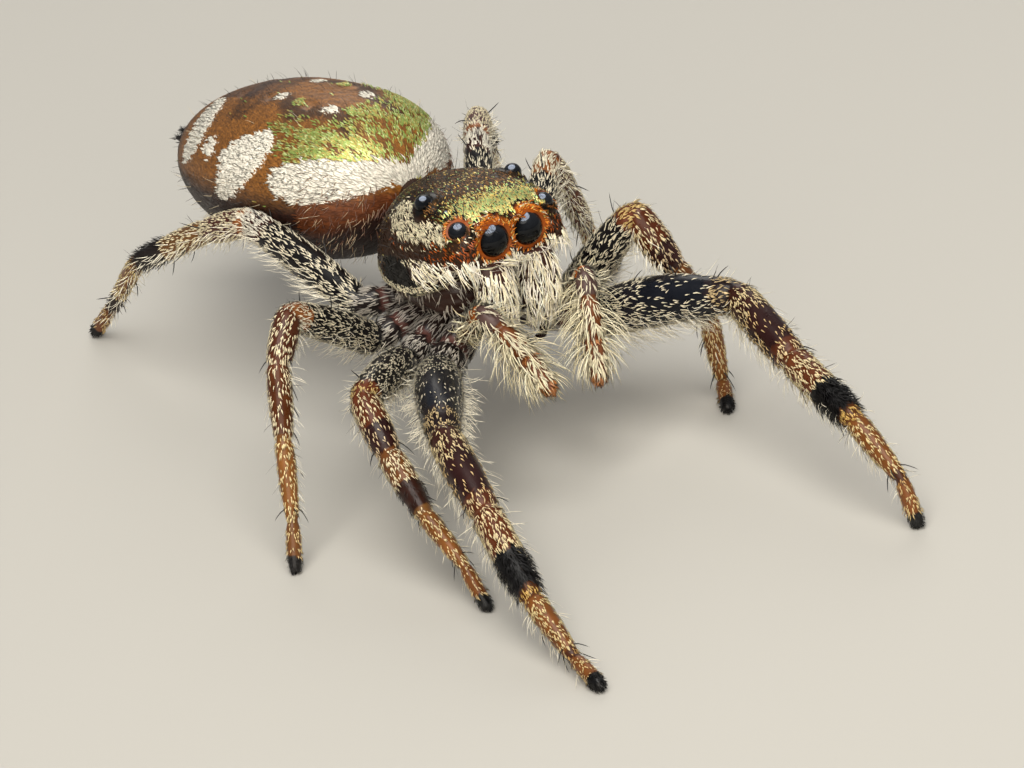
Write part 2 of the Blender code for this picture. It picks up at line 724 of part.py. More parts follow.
def main():
    clear_scene()
    collection = new_collection(OBJECT_NAME)
    cutters = new_collection("cutters", hidden=True)
    frame = carapace_frame()
    make_carapace(frame, collection, cutters)
    make_eyes(frame, collection)
    make_sternum(frame, collection, cutters)
    make_jaws(frame, collection)
    for side in ("R", "L"):
        make_palp(frame, side, collection)
        for number in HIPS:
            make_leg(frame, side, number, collection)
    make_abdomen(collection)
    make_waist(frame, collection)
    grow_locks(frame, collection, cutters)
    to_life_size(collection)


main()
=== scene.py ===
import math

import bmesh
import bpy
import numpy as np
from mathutils import Matrix, Vector


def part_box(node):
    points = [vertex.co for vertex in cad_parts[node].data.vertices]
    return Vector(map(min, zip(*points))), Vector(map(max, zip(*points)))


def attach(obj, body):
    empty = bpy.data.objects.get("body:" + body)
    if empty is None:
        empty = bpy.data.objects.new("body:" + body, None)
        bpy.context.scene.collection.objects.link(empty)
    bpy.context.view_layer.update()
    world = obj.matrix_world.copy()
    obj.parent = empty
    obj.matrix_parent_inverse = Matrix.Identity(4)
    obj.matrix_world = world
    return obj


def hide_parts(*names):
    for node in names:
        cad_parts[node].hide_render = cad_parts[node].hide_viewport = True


# A jumping spider at life size: smooth skins of the body and the legs, eyes of their own, and a
# coat of scales, hairs and spines in solid mesh. Shapes are worked out in millimetres in the
# stance that the solids have, and go to metres when a piece is finished.

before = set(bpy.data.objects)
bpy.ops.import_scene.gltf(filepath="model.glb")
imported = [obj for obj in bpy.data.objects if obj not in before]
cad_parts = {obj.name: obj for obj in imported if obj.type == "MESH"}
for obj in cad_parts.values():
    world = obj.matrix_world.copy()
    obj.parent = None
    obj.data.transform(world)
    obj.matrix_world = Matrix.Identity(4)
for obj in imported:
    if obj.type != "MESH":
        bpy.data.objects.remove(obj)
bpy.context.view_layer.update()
mm = 0.001


# sRGB hex code to linear light
def hexColour(code):
    values = [int(code[i:i + 2], 16) / 255 for i in (1, 3, 5)]
    return np.array([v / 12.92 if v <= 0.04045 else ((v + 0.055) / 1.055) ** 2.4 for v in values])


# Adds one node: settings are its inputs or properties, links the sockets that feed its inputs
def addNode(tree, kind, settings=None, links=None):
    node = tree.nodes.new(kind)
    for name, value in (settings or {}).items():
        if isinstance(name, int) or name in node.inputs:
            node.inputs[name].default_value = value
        else:
            setattr(node, name, value)
    for name, source in (links or {}).items():
        tree.links.new(source, node.inputs[name])
    return node


# A new material with its shader and its place and tint sources
def newFinish(name):
    made = bpy.data.materials.new(name)
    made.use_nodes = True
    tree = made.node_tree
    place = addNode(tree, "ShaderNodeTexCoord").outputs["Object"]
    tint = addNode(tree, "ShaderNodeAttribute", {"attribute_name": "tint"}).outputs["Color"]
    return made, tree, tree.nodes["Principled BSDF"], place, tint


# Cloudy noise of a size in millimetres, and the same noise spread between two values
def addCloud(tree, place, size, detail):
    return addNode(tree, "ShaderNodeTexNoise", {"Scale": 1 / (size * mm), "Detail": detail},
                   {"Vector": place}).outputs["Fac"]


def spreadOver(tree, cloud, low, high):
    limits = {"From Min": 0.3, "From Max": 0.7, "To Min": low, "To Max": high}
    return addNode(tree, "ShaderNodeMapRange", limits, {"Value": cloud}).outputs["Result"]


# Stance: how the body is carried, repeated from the solids' named sizes
stance = {
    "marginHeight": 3.10, "noseUp": 1.0, "lean": 3.5,
    "abdomenCentre": (0.19, 4.88, 3.26), "yaw": 4.7, "droop": 6.0, "roll": -3.0,
    "hipHeight": -0.78,
    "coatDepth": 0.04,
    "rightEye": (-0.33, -1.72, 0.82),  # its middle, in the carapace's own frame
}
carapacePlace = (Matrix.Translation((0, 0, stance["marginHeight"]))
                 @ Matrix.Rotation(math.radians(stance["lean"]), 4, "Y")
                 @ Matrix.Rotation(math.radians(-stance["noseUp"]), 4, "X"))
abdomenPlace = (Matrix.Translation(stance["abdomenCentre"])
                @ Matrix.Rotation(math.radians(stance["yaw"]), 4, "Z")
                @ Matrix.Rotation(math.radians(-stance["droop"]), 4, "X")
                @ Matrix.Rotation(math.radians(stance["roll"]), 4, "Y"))


# Moves rows of points by a 4x4 matrix
def put(place, points):
    m = np.array(place)
    return points @ m[:3, :3].T + m[:3, 3]


def turned(place, vectors):
    return vectors @ np.array(place)[:3, :3].T


# The solids are centred on their box, so one eye says how far the stance was shifted
eyeLow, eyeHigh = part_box("eye_front_middle_R")
shift = np.array(carapacePlace @ Vector(stance["rightEye"])) - np.array((eyeLow + eyeHigh) / 2) / mm


def toPart(points):
    return (np.asarray(points, float) - shift) * mm


def unit(vectors):
    return vectors / np.maximum(np.linalg.norm(vectors, axis=-1, keepdims=True), 1e-9)


# Smooth noise from -1 to 1 with bumps of about that size in millimetres
def wobble(points, size, seed):
    waves = np.random.default_rng(seed)
    total = np.zeros(len(points))
    for octave in range(5):
        way = unit(waves.normal(size=3)) / size * (1 + 0.5 * octave)
        total += np.sin(2 * np.pi * (points @ way) + waves.uniform(0, 6.28)) / (1 + 0.4 * octave)
    return total / 2.4


# 1 inside low..high, falling to 0 over a soft edge
def between(value, low, high, soft):
    rise = np.clip((value - low) / soft + 0.5, 0, 1)
    fall = np.clip((high - value) / soft + 0.5, 0, 1)
    return rise * fall


# Rows of one colour, or of one direction, as many as asked for
def evenTint(code, count):
    return np.tile(hexColour(code), (count, 1))


def evenWay(place, way, count):
    return turned(place, np.tile(way, (count, 1)))


def mixed(first, second, share):
    share = np.asarray(share)[:, None]
    return first * (1 - share) + second * share


# Chitin, a hard brown-black shell under a thin wax film: it gives small sharp glints
def cuticle(name, roughness, coat, grain, depth, spread=0.10, gloss=0.28):
    made, tree, shader, place, tint = newFinish(name)
    cloud = addCloud(tree, place, 0.35, 4.0)
    shade = spreadOver(tree, cloud, 0.72, 1.25)
    rough = spreadOver(tree, cloud, roughness - spread, roughness + spread)
    colour = addNode(tree, "ShaderNodeVectorMath", {"operation": "SCALE"}, {0: tint, "Scale": shade})
    cells = addNode(tree, "ShaderNodeTexVoronoi", {"Scale": 1 / (grain * mm)}, {"Vector": place})
    bump = addNode(tree, "ShaderNodeBump", {"Strength": 0.35, "Distance": depth * mm},
                   {"Height": cells.outputs["Distance"]})
    tree.links.new(colour.outputs["Vector"], shader.inputs["Base Color"])
    tree.links.new(rough, shader.inputs["Roughness"])
    tree.links.new(bump.outputs["Normal"], shader.inputs["Normal"])
    shader.inputs["IOR"].default_value = 1.56
    shader.inputs["Specular IOR Level"].default_value = gloss
    shader.inputs["Coat Weight"].default_value = coat
    shader.inputs["Coat Roughness"].default_value = 0.12
    return made


# Scale hair: satin and soft, each hair with its own colour; the metallic ones glow gold and green
def hairFinish(name, roughness, metallic, gloss, variation=0.22):
    made, tree, shader, place, tint = newFinish(name)
    shade = spreadOver(tree, addCloud(tree, place, 0.09, 2.0), 1 - variation, 1 + variation)
    colour = addNode(tree, "ShaderNodeVectorMath", {"operation": "SCALE"}, {0: tint, "Scale": shade})
    comb = addNode(tree, "ShaderNodeAttribute", {"attribute_name": "comb"}).outputs["Vector"]
    tree.links.new(colour.outputs["Vector"], shader.inputs["Base Color"])
    tree.links.new(comb, shader.inputs["Normal"])
    shader.inputs["Roughness"].default_value = roughness
    shader.inputs["Metallic"].default_value = metallic
    shader.inputs["Specular IOR Level"].default_value = gloss
    return made


finishes = {
    # hard plate of the head, and the fangs: near black, with small glints between the scales
    "shell": cuticle("waxedChitinShell", 0.30, 0.05, 0.030, 0.004, gloss=0.16),
    # thin shell of legs, feelers, jaws and underside, more waxy: brown, with a soft streak of light
    "leg": cuticle("waxedChitinLeg", 0.34, 0.10, 0.035, 0.006, gloss=0.20),
    # leathery skin of the abdomen: dull and finely wrinkled, dark in the gaps of the fur
    "pelt": cuticle("softAbdomenCuticle", 0.50, 0.15, 0.060, 0.012),
    # flat scales of head, legs and spinnerets: matt, each a shade of its own, so that the coat looks powdery
    "scale": hairFinish("creamScaleHair", 0.48, 0.0, 0.45),
    # short dense fur of the abdomen: like suede, with less spread from one hair to the next
    "fur": hairFinish("abdomenScaleFur", 0.46, 0.0, 0.45, 0.14),
    # ridged scales that give back colour as foil does: gold to green sparks on the head
    "gold": hairFinish("goldGreenScale", 0.40, 0.80, 0.6, 0.12),
    # the same on the abdomen, half as metallic: a greenish sheen over the fur
    "lime": hairFinish("greenGoldScale", 0.45, 0.40, 0.6, 0.12),
    # long hairs, smooth as horsehair: each has a thin bright line down its side
    "bristle": hairFinish("paleBristle", 0.40, 0.0, 0.5, 0.12),
}


# Lens of the eye: black pigment under a clear, smooth cornea, for a deep black with one bright glint
def corneaFinish():
    made, tree, shader, place, _ = newFinish("polishedCornea")
    dark = spreadOver(tree, addCloud(tree, place, 0.25, 2.0), 0.0015, 0.0045)
    colour = addNode(tree, "ShaderNodeCombineColor", None, {"Red": dark, "Green": dark, "Blue": dark})
    tree.links.new(colour.outputs["Color"], shader.inputs["Base Color"])
    shader.inputs["Roughness"].default_value = 0.07
    shader.inputs["IOR"].default_value = 1.40
    shader.inputs["Specular IOR Level"].default_value = 0.25
    return made


finishes["eye"] = corneaFinish()


# Gives a mesh its material and its place on the part
def finishPiece(name, mesh, finish, replaced=()):
    mesh.materials.append(finishes[finish])
    mesh.shade_smooth()
    piece = bpy.data.objects.new(name, mesh)
    bpy.context.scene.collection.objects.link(piece)
    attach(piece, "root")
    if replaced:
        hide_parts(*replaced)
    return piece


# Wraps a fine grid over a form: u runs round it and v along it, both from 0 to 1
def makeSkin(name, surface, counts, tint, finish, replaced=()):
    bm = bmesh.new()
    bmesh.ops.create_grid(bm, x_segments=counts[0], y_segments=counts[1], size=0.5)
    uv = np.array([v.co[:2] for v in bm.verts]) + 0.5
    points = surface(uv[:, 0], uv[:, 1])
    colours = tint(uv[:, 0], uv[:, 1], points)
    unwrap = bm.loops.layers.uv.new("OFBake")
    colourLayer = bm.verts.layers.float_color.new("tint")
    for vert, point, colour in zip(bm.verts, toPart(points), colours):
        vert.co = point
        vert[colourLayer] = (*colour, 1.0)
    for face in bm.faces:
        for loop in face.loops:
            loop[unwrap].uv = uv[loop.vert.index]
    bmesh.ops.remove_doubles(bm, verts=bm.verts, dist=1e-4 * mm)
    bmesh.ops.dissolve_degenerate(bm, edges=bm.edges, dist=1e-5 * mm)
    bmesh.ops.recalc_face_normals(bm, faces=bm.faces)
    mesh = bpy.data.meshes.new(name)
    bm.to_mesh(mesh)
    bm.free()
    return finishPiece(name, mesh, finish, replaced)


# Roots of hairs over a form, as dense as perSquare says in hairs per square millimetre
def scatter(surface, perSquare, seed, limit=None):
    own = np.random.default_rng(seed)
    step = 1e-4

    def patch(count):
        u, v = own.uniform(0, 1, count), own.uniform(0.0005, 0.9995, count)
        p = surface(u, v)
        du = (surface((u + step) % 1.0, v) - p) / step
        dv = (surface(u, np.clip(v + step, 0, 1)) - surface(u, np.clip(v - step, 0, 1))) / (2 * step)
        cross = np.cross(du, dv)
        area = np.linalg.norm(cross, axis=1)
        area = np.minimum(area, np.percentile(area, 99.8) * 2)
        return u, v, p, cross, area * np.maximum(perSquare(u, v, p), 0)

    pilot = patch(20000)[-1]
    share = min(1.0, limit / pilot.mean()) if limit else 1.0
    tries = int(min(np.percentile(pilot, 99.5) * share * 1.1 + 100, 900000))
    u, v, p, cross, weight = patch(tries)
    chosen = np.flatnonzero(own.uniform(0, 1, tries) * tries < weight * share)
    normal = unit(cross)
    middle = p.mean(axis=0)
    if ((p - middle) * normal).sum() < 0:
        normal = -normal
    return {"u": u[chosen], "v": v[chosen], "root": p[chosen], "normal": normal[chosen], "draw": own}


tuftPatch = 0.003  # side of a tuft's patch on the map of its skin


# Tapered solid hairs on scattered roots. Lie is their way along the skin; lift raises them off it in
# radians; curl bends them back to it; jitter turns each hair alone and swirl turns tufts together.
# Short hairs take most of their shading from the skin below, as close fur does; long ones let the
# light through, so theirs leans to the sky
def hairs(roots, lie, length, width, lift, tints, curl=0.0, jitter=0.2, rings=2, flat=0.35, swirl=0.0,
          spread=0.13):
    own, count = roots["draw"], len(roots["root"])
    normal = roots["normal"]
    lie = unit(lie - normal * (lie * normal).sum(axis=1, keepdims=True))
    aside = np.cross(normal, lie)
    turn = (own.normal(0, jitter, count) + swirl * wobble(roots["root"], 0.22, 31))[:, None]
    lie = lie * np.cos(turn) + aside * np.sin(turn)
    lift = (np.zeros(count) + lift) * own.uniform(0.7, 1.3, count)
    length = (np.zeros(count) + length) * own.uniform(0.75, 1.2, count)
    width = (np.zeros(count) + width) * own.uniform(0.85, 1.15, count)
    way = lie * np.cos(lift)[:, None] + normal * np.sin(lift)[:, None]
    rise = normal * np.cos(lift)[:, None] - lie * np.sin(lift)[:, None]
    side = unit(np.cross(way, rise))
    bend = -rise * (np.zeros(count) + curl)[:, None] + side * own.normal(0, 0.12, count)[:, None]
    rows, uvs, facing = [], [], []
    widths = (0.75, 1.0) if rings == 2 else [1 - 0.55 * k / rings for k in range(rings)]
    for k in range(rings):
        s = k / rings
        middle = roots["root"] - normal * 0.02 * (k == 0) + (way * s + bend * s * s) * length[:, None]
        half = (side * width[:, None]) * widths[k] / 2
        rows += [middle - half, middle + half, middle + rise * (width * widths[k] * flat)[:, None]]
        uvs += [(0.0, s), (1.0, s), (0.5, s)]
        facing += [-side, side, rise]
    rows.append(roots["root"] + (way + bend) * length[:, None])
    uvs.append((0.5, 1.0))
    facing.append(rise)
    soft = (0.7 if flat > 0.2 else 0.88) if rings == 2 else 0.15
    comb = normal[:, None, :] * soft + np.stack(facing, axis=1) * (1 - soft)
    comb = unit(comb + np.array([-0.2, -0.3, 0.7]) * (rings > 2))
    points = np.stack(rows, axis=1)
    local = (np.array(uvs) - 0.5) * tuftPatch
    base = np.stack([roots["u"], roots["v"]], axis=1) * (1 - 2 * tuftPatch) + tuftPatch
    corners = []
    for k in range(rings - 1):
        for a in range(3):
            b = (a + 1) % 3
            corners += [(3 * k + a, 3 * k + b, 3 * k + 3 + b), (3 * k + a, 3 * k + 3 + b, 3 * k + 3 + a)]
    last = 3 * (rings - 1)
    corners += [(last, last + 1, last + 3), (last + 1, last + 2, last + 3), (last + 2, last, last + 3),
                (0, 2, 1)]
    tints = tints * (1 + own.uniform(-1, 1, (count, 1)) * spread)
    colours = np.repeat(tints[:, None, :], len(uvs), axis=1)
    return {"points": points, "corners": np.array(corners), "uv": base[:, None, :] + local[None],
            "tint": colours, "comb": comb}


# Joins sets of hairs into one mesh, each hair a small patch of the map at its root's place
def coatPiece(name, sets, finish):
    points, corners, uvs, tints, combs, start = [], [], [], [], [], 0
    for one in sets:
        count, each = one["points"].shape[:2]
        points.append(toPart(one["points"].reshape(-1, 3)))
        index = one["corners"][None] + (np.arange(count) * each)[:, None, None] + start
        corners.append(index.reshape(-1, 3))
        uvs.append(one["uv"].reshape(-1, 2))
        tints.append(one["tint"].reshape(-1, 3))
        combs.append(one["comb"].reshape(-1, 3))
        start += count * each
    points, corners = np.concatenate(points), np.concatenate(corners)
    uvs, tints = np.concatenate(uvs), np.clip(np.concatenate(tints), 0, 1)
    points[:, 2] = np.maximum(points[:, 2], 0.003 * mm)
    mesh = bpy.data.meshes.new(name)
    mesh.vertices.add(len(points))
    mesh.vertices.foreach_set("co", points.astype(np.float32).ravel())
    mesh.loops.add(corners.size)
    mesh.loops.foreach_set("vertex_index", corners.astype(np.int32).ravel())
    mesh.polygons.add(len(corners))
    mesh.polygons.foreach_set("loop_start", np.arange(0, corners.size, 3, dtype=np.int32))
    mesh.update(calc_edges=True)
    layer = mesh.uv_layers.new(name="OFBake")
    layer.data.foreach_set("uv", uvs[corners.ravel()].astype(np.float32).ravel())
    colours = mesh.color_attributes.new("tint", "FLOAT_COLOR", "POINT")
    colours.data.foreach_set("color", np.c_[tints, np.ones(len(tints))].astype(np.float32).ravel())
    comb = mesh.attributes.new("comb", "FLOAT_VECTOR", "POINT")
    comb.data.foreach_set("vector", np.concatenate(combs).astype(np.float32).ravel())
    print(f"{name}: {len(corners)} triangles")
    return finishPiece(name, mesh, finish)


# A round-sectioned limb through its joints, pinched where the pieces meet. T runs over the
# pieces: 2.5 is the middle of the third
def limbForm(joints, radii, squash, hipShare=1.0, thigh=(1.06, 0.0)):
    joints = np.asarray(joints, float)
    pieces = len(joints) - 1
    ways = unit(np.diff(joints, axis=0))
    lengths = np.linalg.norm(np.diff(joints, axis=0), axis=1)
    across = [unit(np.cross(ways[0], (0, 0, 1.0)))]
    for way in ways[1:]:
        across.append(unit(across[-1] - way * (across[-1] @ way)))
    rows = []
    for i in range(pieces):
        for f in np.linspace(0, 1, 17)[:-1] if i < pieces - 1 else np.linspace(0, 1, 17):
            here = joints[i] + ways[i] * lengths[i] * f
            reach = 0.16
            before = np.clip(1 - f * lengths[i] / reach, 0, 1) / 2 if i else 0
            after = np.clip(1 - (1 - f) * lengths[i] / reach, 0, 1) / 2 if i < pieces - 1 else 0
            way, side = ways[i] * (1 - before - after), across[i] * (1 - before - after)
            if i:
                way, side = way + ways[i - 1] * before, side + across[i - 1] * before
            if i < pieces - 1:
                way, side = way + ways[i + 1] * after, side + across[i + 1] * after
            way = unit(way)
            side = unit(side - way * (side @ way))
            near = min(f * lengths[i] if i else 9, (1 - f) * lengths[i] if i < pieces - 1 else 9)
            high, bow = thigh if i == 1 else (1.06, 0.0)
            swell = 0.90 + (high - 0.90) * math.sin(math.pi * f)
            here = here + np.array([0, 0, bow * math.sin(math.pi * f)])
            pinch = 1 - 0.20 * math.exp(-(near / 0.055) ** 2)
            radius = (radii[i] + (radii[i + 1] - radii[i]) * f) * swell * pinch
            if i == 0:
                radius *= hipShare * (1 - 0.24 * math.exp(-((f - 0.60) * lengths[0] / 0.07) ** 2))
            rows.append((i + f, here, way, side, radius))
    tipRadius = rows[-1][4]
    for q in (0.35, 0.7, 0.9, 1.0):
        angle = q * math.pi / 2
        rows.append((pieces + q * 1e-3, joints[-1] + ways[-1] * tipRadius * math.sin(angle), ways[-1],
                     rows[-1][3], tipRadius * max(math.cos(angle), 1e-4)))
    rows.insert(0, (0.0, joints[0], ways[0], across[0], 1e-4))
    t = np.array([r[0] for r in rows])
    centres = np.array([r[1] for r in rows])
    run = np.r_[0, np.cumsum(np.maximum(np.linalg.norm(np.diff(centres, axis=0), axis=1), 0.01))]
    run = run / run[-1]
    sides = np.array([r[3] for r in rows])
    overs = np.cross(sides, np.array([r[2] for r in rows]))
    waysAt = np.array([r[2] for r in rows])
    radiusAt = np.array([r[4] for r in rows])

    def at(v, table):
        return np.stack([np.interp(v, run, table[:, k]) for k in range(3)], axis=1)

    def surface(u, v):
        angle = 2 * np.pi * u
        out = at(v, overs) * np.cos(angle)[:, None] + at(v, sides) * (np.sin(angle) * squash)[:, None]
        p = at(v, centres) + out * np.interp(v, run, radiusAt)[:, None]
        p[:, 2] = np.maximum(p[:, 2], 0.004)
        return p

    return {"surface": surface, "piece": lambda v: np.interp(v, run, t),
            "way": lambda v: unit(at(v, waysAt))}


# Direction from a bearing (0 sideways, 90 forwards) and a rise, in degrees
def wayOf(side, bearing, rise):
    across = 1 if side == "L" else -1
    a, e = math.radians(bearing), math.radians(rise)
    return np.array([across * math.cos(a) * math.cos(e), -math.sin(a) * math.cos(e), math.sin(e)])


legs = {
    "lengths": {1: (2.80, 1.75, 1.80, 1.25, 0.72), 2: (2.20, 1.10, 1.25, 1.10, 0.70),
                3: (2.35, 0.90, 1.20, 1.30, 0.72), 4: (2.75, 1.30, 1.95, 1.75, 0.85)},
    "radii": {1: (0.34, 0.40, 0.31, 0.29, 0.21, 0.13, 0.13), 2: (0.32, 0.32, 0.27, 0.25, 0.18, 0.12, 0.12),
              3: (0.31, 0.29, 0.25, 0.22, 0.17, 0.12, 0.12), 4: (0.31, 0.30, 0.25, 0.22, 0.17, 0.12, 0.12)},
    "hips": {1: ((0.35, -0.95), (1.56, -1.60, -1.18)), 2: ((0.40, -0.40), (1.62, -0.74, -1.18)),
             3: ((0.40, 0.15), (1.55, 0.28, -1.12)), 4: ((0.35, 0.65), (1.28, 1.12, -0.80))},
    "poses": {
        # bearings of thigh, knee piece, shin, forefoot and foot; rises of the first four
        ("R", 1): ((59, 76, 78, 85, 84), (6, -22, -28, -27)),
        ("R", 2): ((40, 77, 83, 90, 88), (12, -34, -33, -31)),
        ("R", 3): ((19, 36, 49, 53, 45), (36, -36, -60, -60)),
        ("R", 4): ((-82, -79, -71, -88, -79), (19, -20, -26, -45)),
        ("L", 1): ((64, 97, 96, 89, 80), (13, -18, -14, -34)),
        ("L", 2): ((58, 49, 10, 75, 121), (49, -63, -67, -86)),
        ("L", 3): ((-41, -25, -39, -41, -42), (34, -60, -58, -64)),
        ("L", 4): ((-56, -56, -57, -58, -58), (23, -8, -38, -56)),
    },
    # swell and rise of the middle of each thigh
    "thighs": {1: (1.17, 0.11), 2: (1.10, 0.045), 3: (1.06, 0.035), 4: (1.06, 0.045)},
    "soleLift": 0.12, "squash": 0.90, "hipShare": 0.82,
}


def legJoints(side, number):
    across = 1 if side == "L" else -1
    (x, y), (a, b, c) = legs["hips"][number]
    root = np.array(carapacePlace @ Vector((across * x, y, stance["hipHeight"])))
    points = [root, np.array(carapacePlace @ Vector((across * a, b, c)))]
    bearings, rises = legs["poses"][side, number]
    lengths = legs["lengths"][number]
    for length, bearing, rise in zip(lengths, bearings, rises):
        points.append(points[-1] + length * wayOf(side, bearing, rise))
    drop = min(0.97, (points[-1][2] - legs["soleLift"]) / lengths[4])
    points.append(points[-1] + lengths[4] * wayOf(side, bearings[4], -math.degrees(math.asin(drop))))
    return np.array(points)


# Markings of a leg by T: hip 0-1, thigh 1-2, knee piece 2-3, shin 3-4, forefoot 4-5, foot 5-6.
# Each row: from, to, skin, hair, how dense the scales lie, their length, extra share underneath
hipMarks = (
    (0.0, 0.56, "#231816", "#b3aaa0", 0.55, 0.3, 0.3),
    (0.56, 0.66, "#5a3a34", "#cfc8bc", 0.3, 0.24, 0.0),
    (0.66, 1.0, "#1d1514", "#c4bcb0", 0.7, 0.26, 0.3),
)
legMarks = {
    1: hipMarks + (
        (1.0, 1.4, "#14131a", "#efe4c8", 0.85, 0.2, 0.5),
        (1.4, 1.86, "#0c0f18", "#efe4c8", 0.26, 0.2, 1.6),
        (1.86, 2.02, "#1c1012", "#d6bc8c", 0.85, 0.18, 0.2),
        (2.02, 2.35, "#32140c", "#ecd6a4", 0.8, 0.19, 0.3),
        (2.35, 2.86, "#270e0c", "#e6c68c", 0.3, 0.19, 1.5),
        (2.86, 3.0, "#4a2210", "#ecd2a0", 0.9, 0.18, 0.2),
        (3.0, 3.5, "#5c2d14", "#f0dcac", 1.1, 0.19, 0.2),
        (3.5, 3.9, "#0a0808", "#0d0a0a", 1.7, 0.24, 0.0),
        (3.9, 4.04, "#5c3418", "#d8b062", 1.0, 0.16, 0.0),
        (4.04, 4.9, "#70411a", "#e2cb93", 0.8, 0.16, 0.2),
        (4.9, 5.1, "#40200f", "#c89e5e", 0.7, 0.15, 0.0),
        (5.1, 5.78, "#70411c", "#dcc188", 0.75, 0.14, 0.2),
        (5.78, 6.1, "#0c0a0a", "#0b0909", 2.0, 0.09, 0.0),
    ),
    2: hipMarks + (
        (1.0, 1.9, "#0f0d10", "#efe4c8", 0.8, 0.2, 0.4),
        (1.9, 2.05, "#5c2c16", "#dfbf7c", 0.95, 0.17, 0.0),
        (2.05, 2.55, "#552812", "#f0ddb0", 0.75, 0.18, 0.3),
        (2.55, 3.0, "#2a1210", "#e4caa0", 0.45, 0.18, 0.4),
        (3.0, 3.5, "#633a18", "#f0e0b8", 0.9, 0.17, 0.2),
        (3.5, 3.9, "#2c150d", "#2a1810", 0.7, 0.14, 0.0),
        (3.9, 4.02, "#6b4722", "#ecd6a4", 1.1, 0.15, 0.0),
        (4.02, 5.0, "#77481f", "#e6cf98", 0.72, 0.15, 0.2),
        (5.0, 5.78, "#70421e", "#dcc28c", 0.68, 0.13, 0.0),
        (5.78, 6.1, "#0d0b0b", "#0b0909", 2.0, 0.09, 0.0),
    ),
    3: hipMarks + (
        (1.0, 1.84, "#0f0d0f", "#efe4c8", 0.85, 0.2, 0.3),
        (1.84, 2.06, "#865128", "#f2e8cc", 1.1, 0.18, 0.0),
        (2.06, 3.0, "#4a2310", "#efe0ba", 0.7, 0.18, 0.3),
        (3.0, 3.92, "#52290f", "#efe0ba", 0.7, 0.17, 0.2),
        (3.92, 5.0, "#784b21", "#e6cf98", 0.72, 0.15, 0.2),
        (5.0, 5.78, "#6c4423", "#dcc28c", 0.66, 0.13, 0.0),
        (5.78, 6.1, "#171414", "#151212", 2.0, 0.09, 0.0),
    ),
    4: hipMarks + (
        (1.0, 1.82, "#100d0e", "#efe4c8", 0.6, 0.2, 0.3),
        (1.82, 2.0, "#3c2018", "#f4ecda", 1.5, 0.21, 0.0),
        (2.0, 2.14, "#8a532a", "#f2e4c6", 1.1, 0.17, 0.0),
        (2.14, 3.0, "#4a2014", "#efe0ba", 0.85, 0.18, 0.2),
        (3.0, 3.55, "#674421", "#f0e0b8", 0.85, 0.17, 0.2),
        (3.55, 3.95, "#1b0f0b", "#1c120e", 1.1, 0.19, 0.0),
        (3.95, 4.7, "#704620", "#e2cb93", 0.78, 0.15, 0.2),
        (4.7, 5.0, "#29150d", "#2a1810", 0.9, 0.16, 0.0),
        (5.0, 5.78, "#62391b", "#d4b680", 0.9, 0.13, 0.0),
        (5.78, 6.1, "#0e0c0c", "#0d0b0b", 2.0, 0.09, 0.0),
    ),
}
scalesPerSquare = 520


# Markings as rows of numbers, for looking up by T
def bandTable(marks):
    edges = np.array([row[0] for row in marks[1:]])
    skin = np.array([hexColour(row[2]) for row in marks])
    hair = np.array([hexColour(row[3]) for row in marks])
    sizes = np.array([row[4:7] for row in marks])
    return edges, skin, hair, sizes


def makeLeg(side, number):
    form = limbForm(legJoints(side, number), legs["radii"][number], legs["squash"], legs["hipShare"],
                    legs["thighs"][number])
    edges, skin, hair, sizes = bandTable(legMarks[number])
    seed = number * 10 + (side == "L")
    name = f"leg{side}{number}"

    def rows(v, p):
        return np.searchsorted(edges, form["piece"](v) + 0.035 * wobble(p, 0.22, seed))

    def skinTint(u, v, p):
        return skin[rows(v, p)]

    makeSkin(name + "Skin", form["surface"], (28, 230), skinTint, "leg",
             [f"leg_{side}{number}_{piece}" for piece in ("femur", "patella", "tibia", "foot")])

    def perSquare(u, v, p):
        row = rows(v, p)
        under = 0.5 - 0.5 * np.cos(2 * np.pi * u)
        patchy = 0.75 + 0.45 * wobble(p, 0.30, seed + 50)
        return scalesPerSquare * sizes[row, 0] * (1 + sizes[row, 2] * (under - 0.35)) * patchy

    roots = scatter(form["surface"], perSquare, 100 + seed)
    row = rows(roots["v"], roots["root"])
    dark = hair[row].mean(axis=1) < 0.05
    foot = form["piece"](roots["v"]) > 5.6
    sets = [hairs(roots, form["way"](roots["v"]), sizes[row, 1] * np.where(dark, 0.85, 0.74),
                  np.where(dark, 0.016, 0.021), np.where(foot, 0.6, np.where(dark, 0.55, 0.22)), hair[row],
                  curl=0.12, jitter=0.18)]

    def fringe(u, v, p):
        t = form["piece"](v)
        under = np.clip(0.3 - np.cos(2 * np.pi * u), 0, 1)
        return 100 * under * between(t, 0.7, 5.3, 0.3) * (1.5 if number == 1 else 1.0)

    roots = scatter(form["surface"], fringe, 200 + seed)
    t = form["piece"](roots["v"])
    long = np.interp(t, (0.7, 1.0, 2.0, 3.0, 4.0, 5.3), (0.40, 0.50, 0.36, 0.32, 0.28, 0.20))
    long = long * (1.1 if number == 1 else 0.9)
    sets.append(hairs(roots, form["way"](roots["v"]), long, 0.014, 0.90, evenTint("#f4ecd6", len(t)),
                      curl=0.40, jitter=0.35, rings=4))

    def upper(u, v, p):
        return 5 * between(form["piece"](v), 1.0, 5.2, 0.2)

    roots = scatter(form["surface"], upper, 300 + seed)
    dusk = evenTint("#2a1d16", len(roots["u"]))
    sets.append(hairs(roots, form["way"](roots["v"]), 0.24, 0.010, 0.95, dusk, curl=0.1, jitter=0.5,
                      rings=4))
    sets.append(spines(form, seed))
    coatPiece(name + "Coat", sets, "scale")


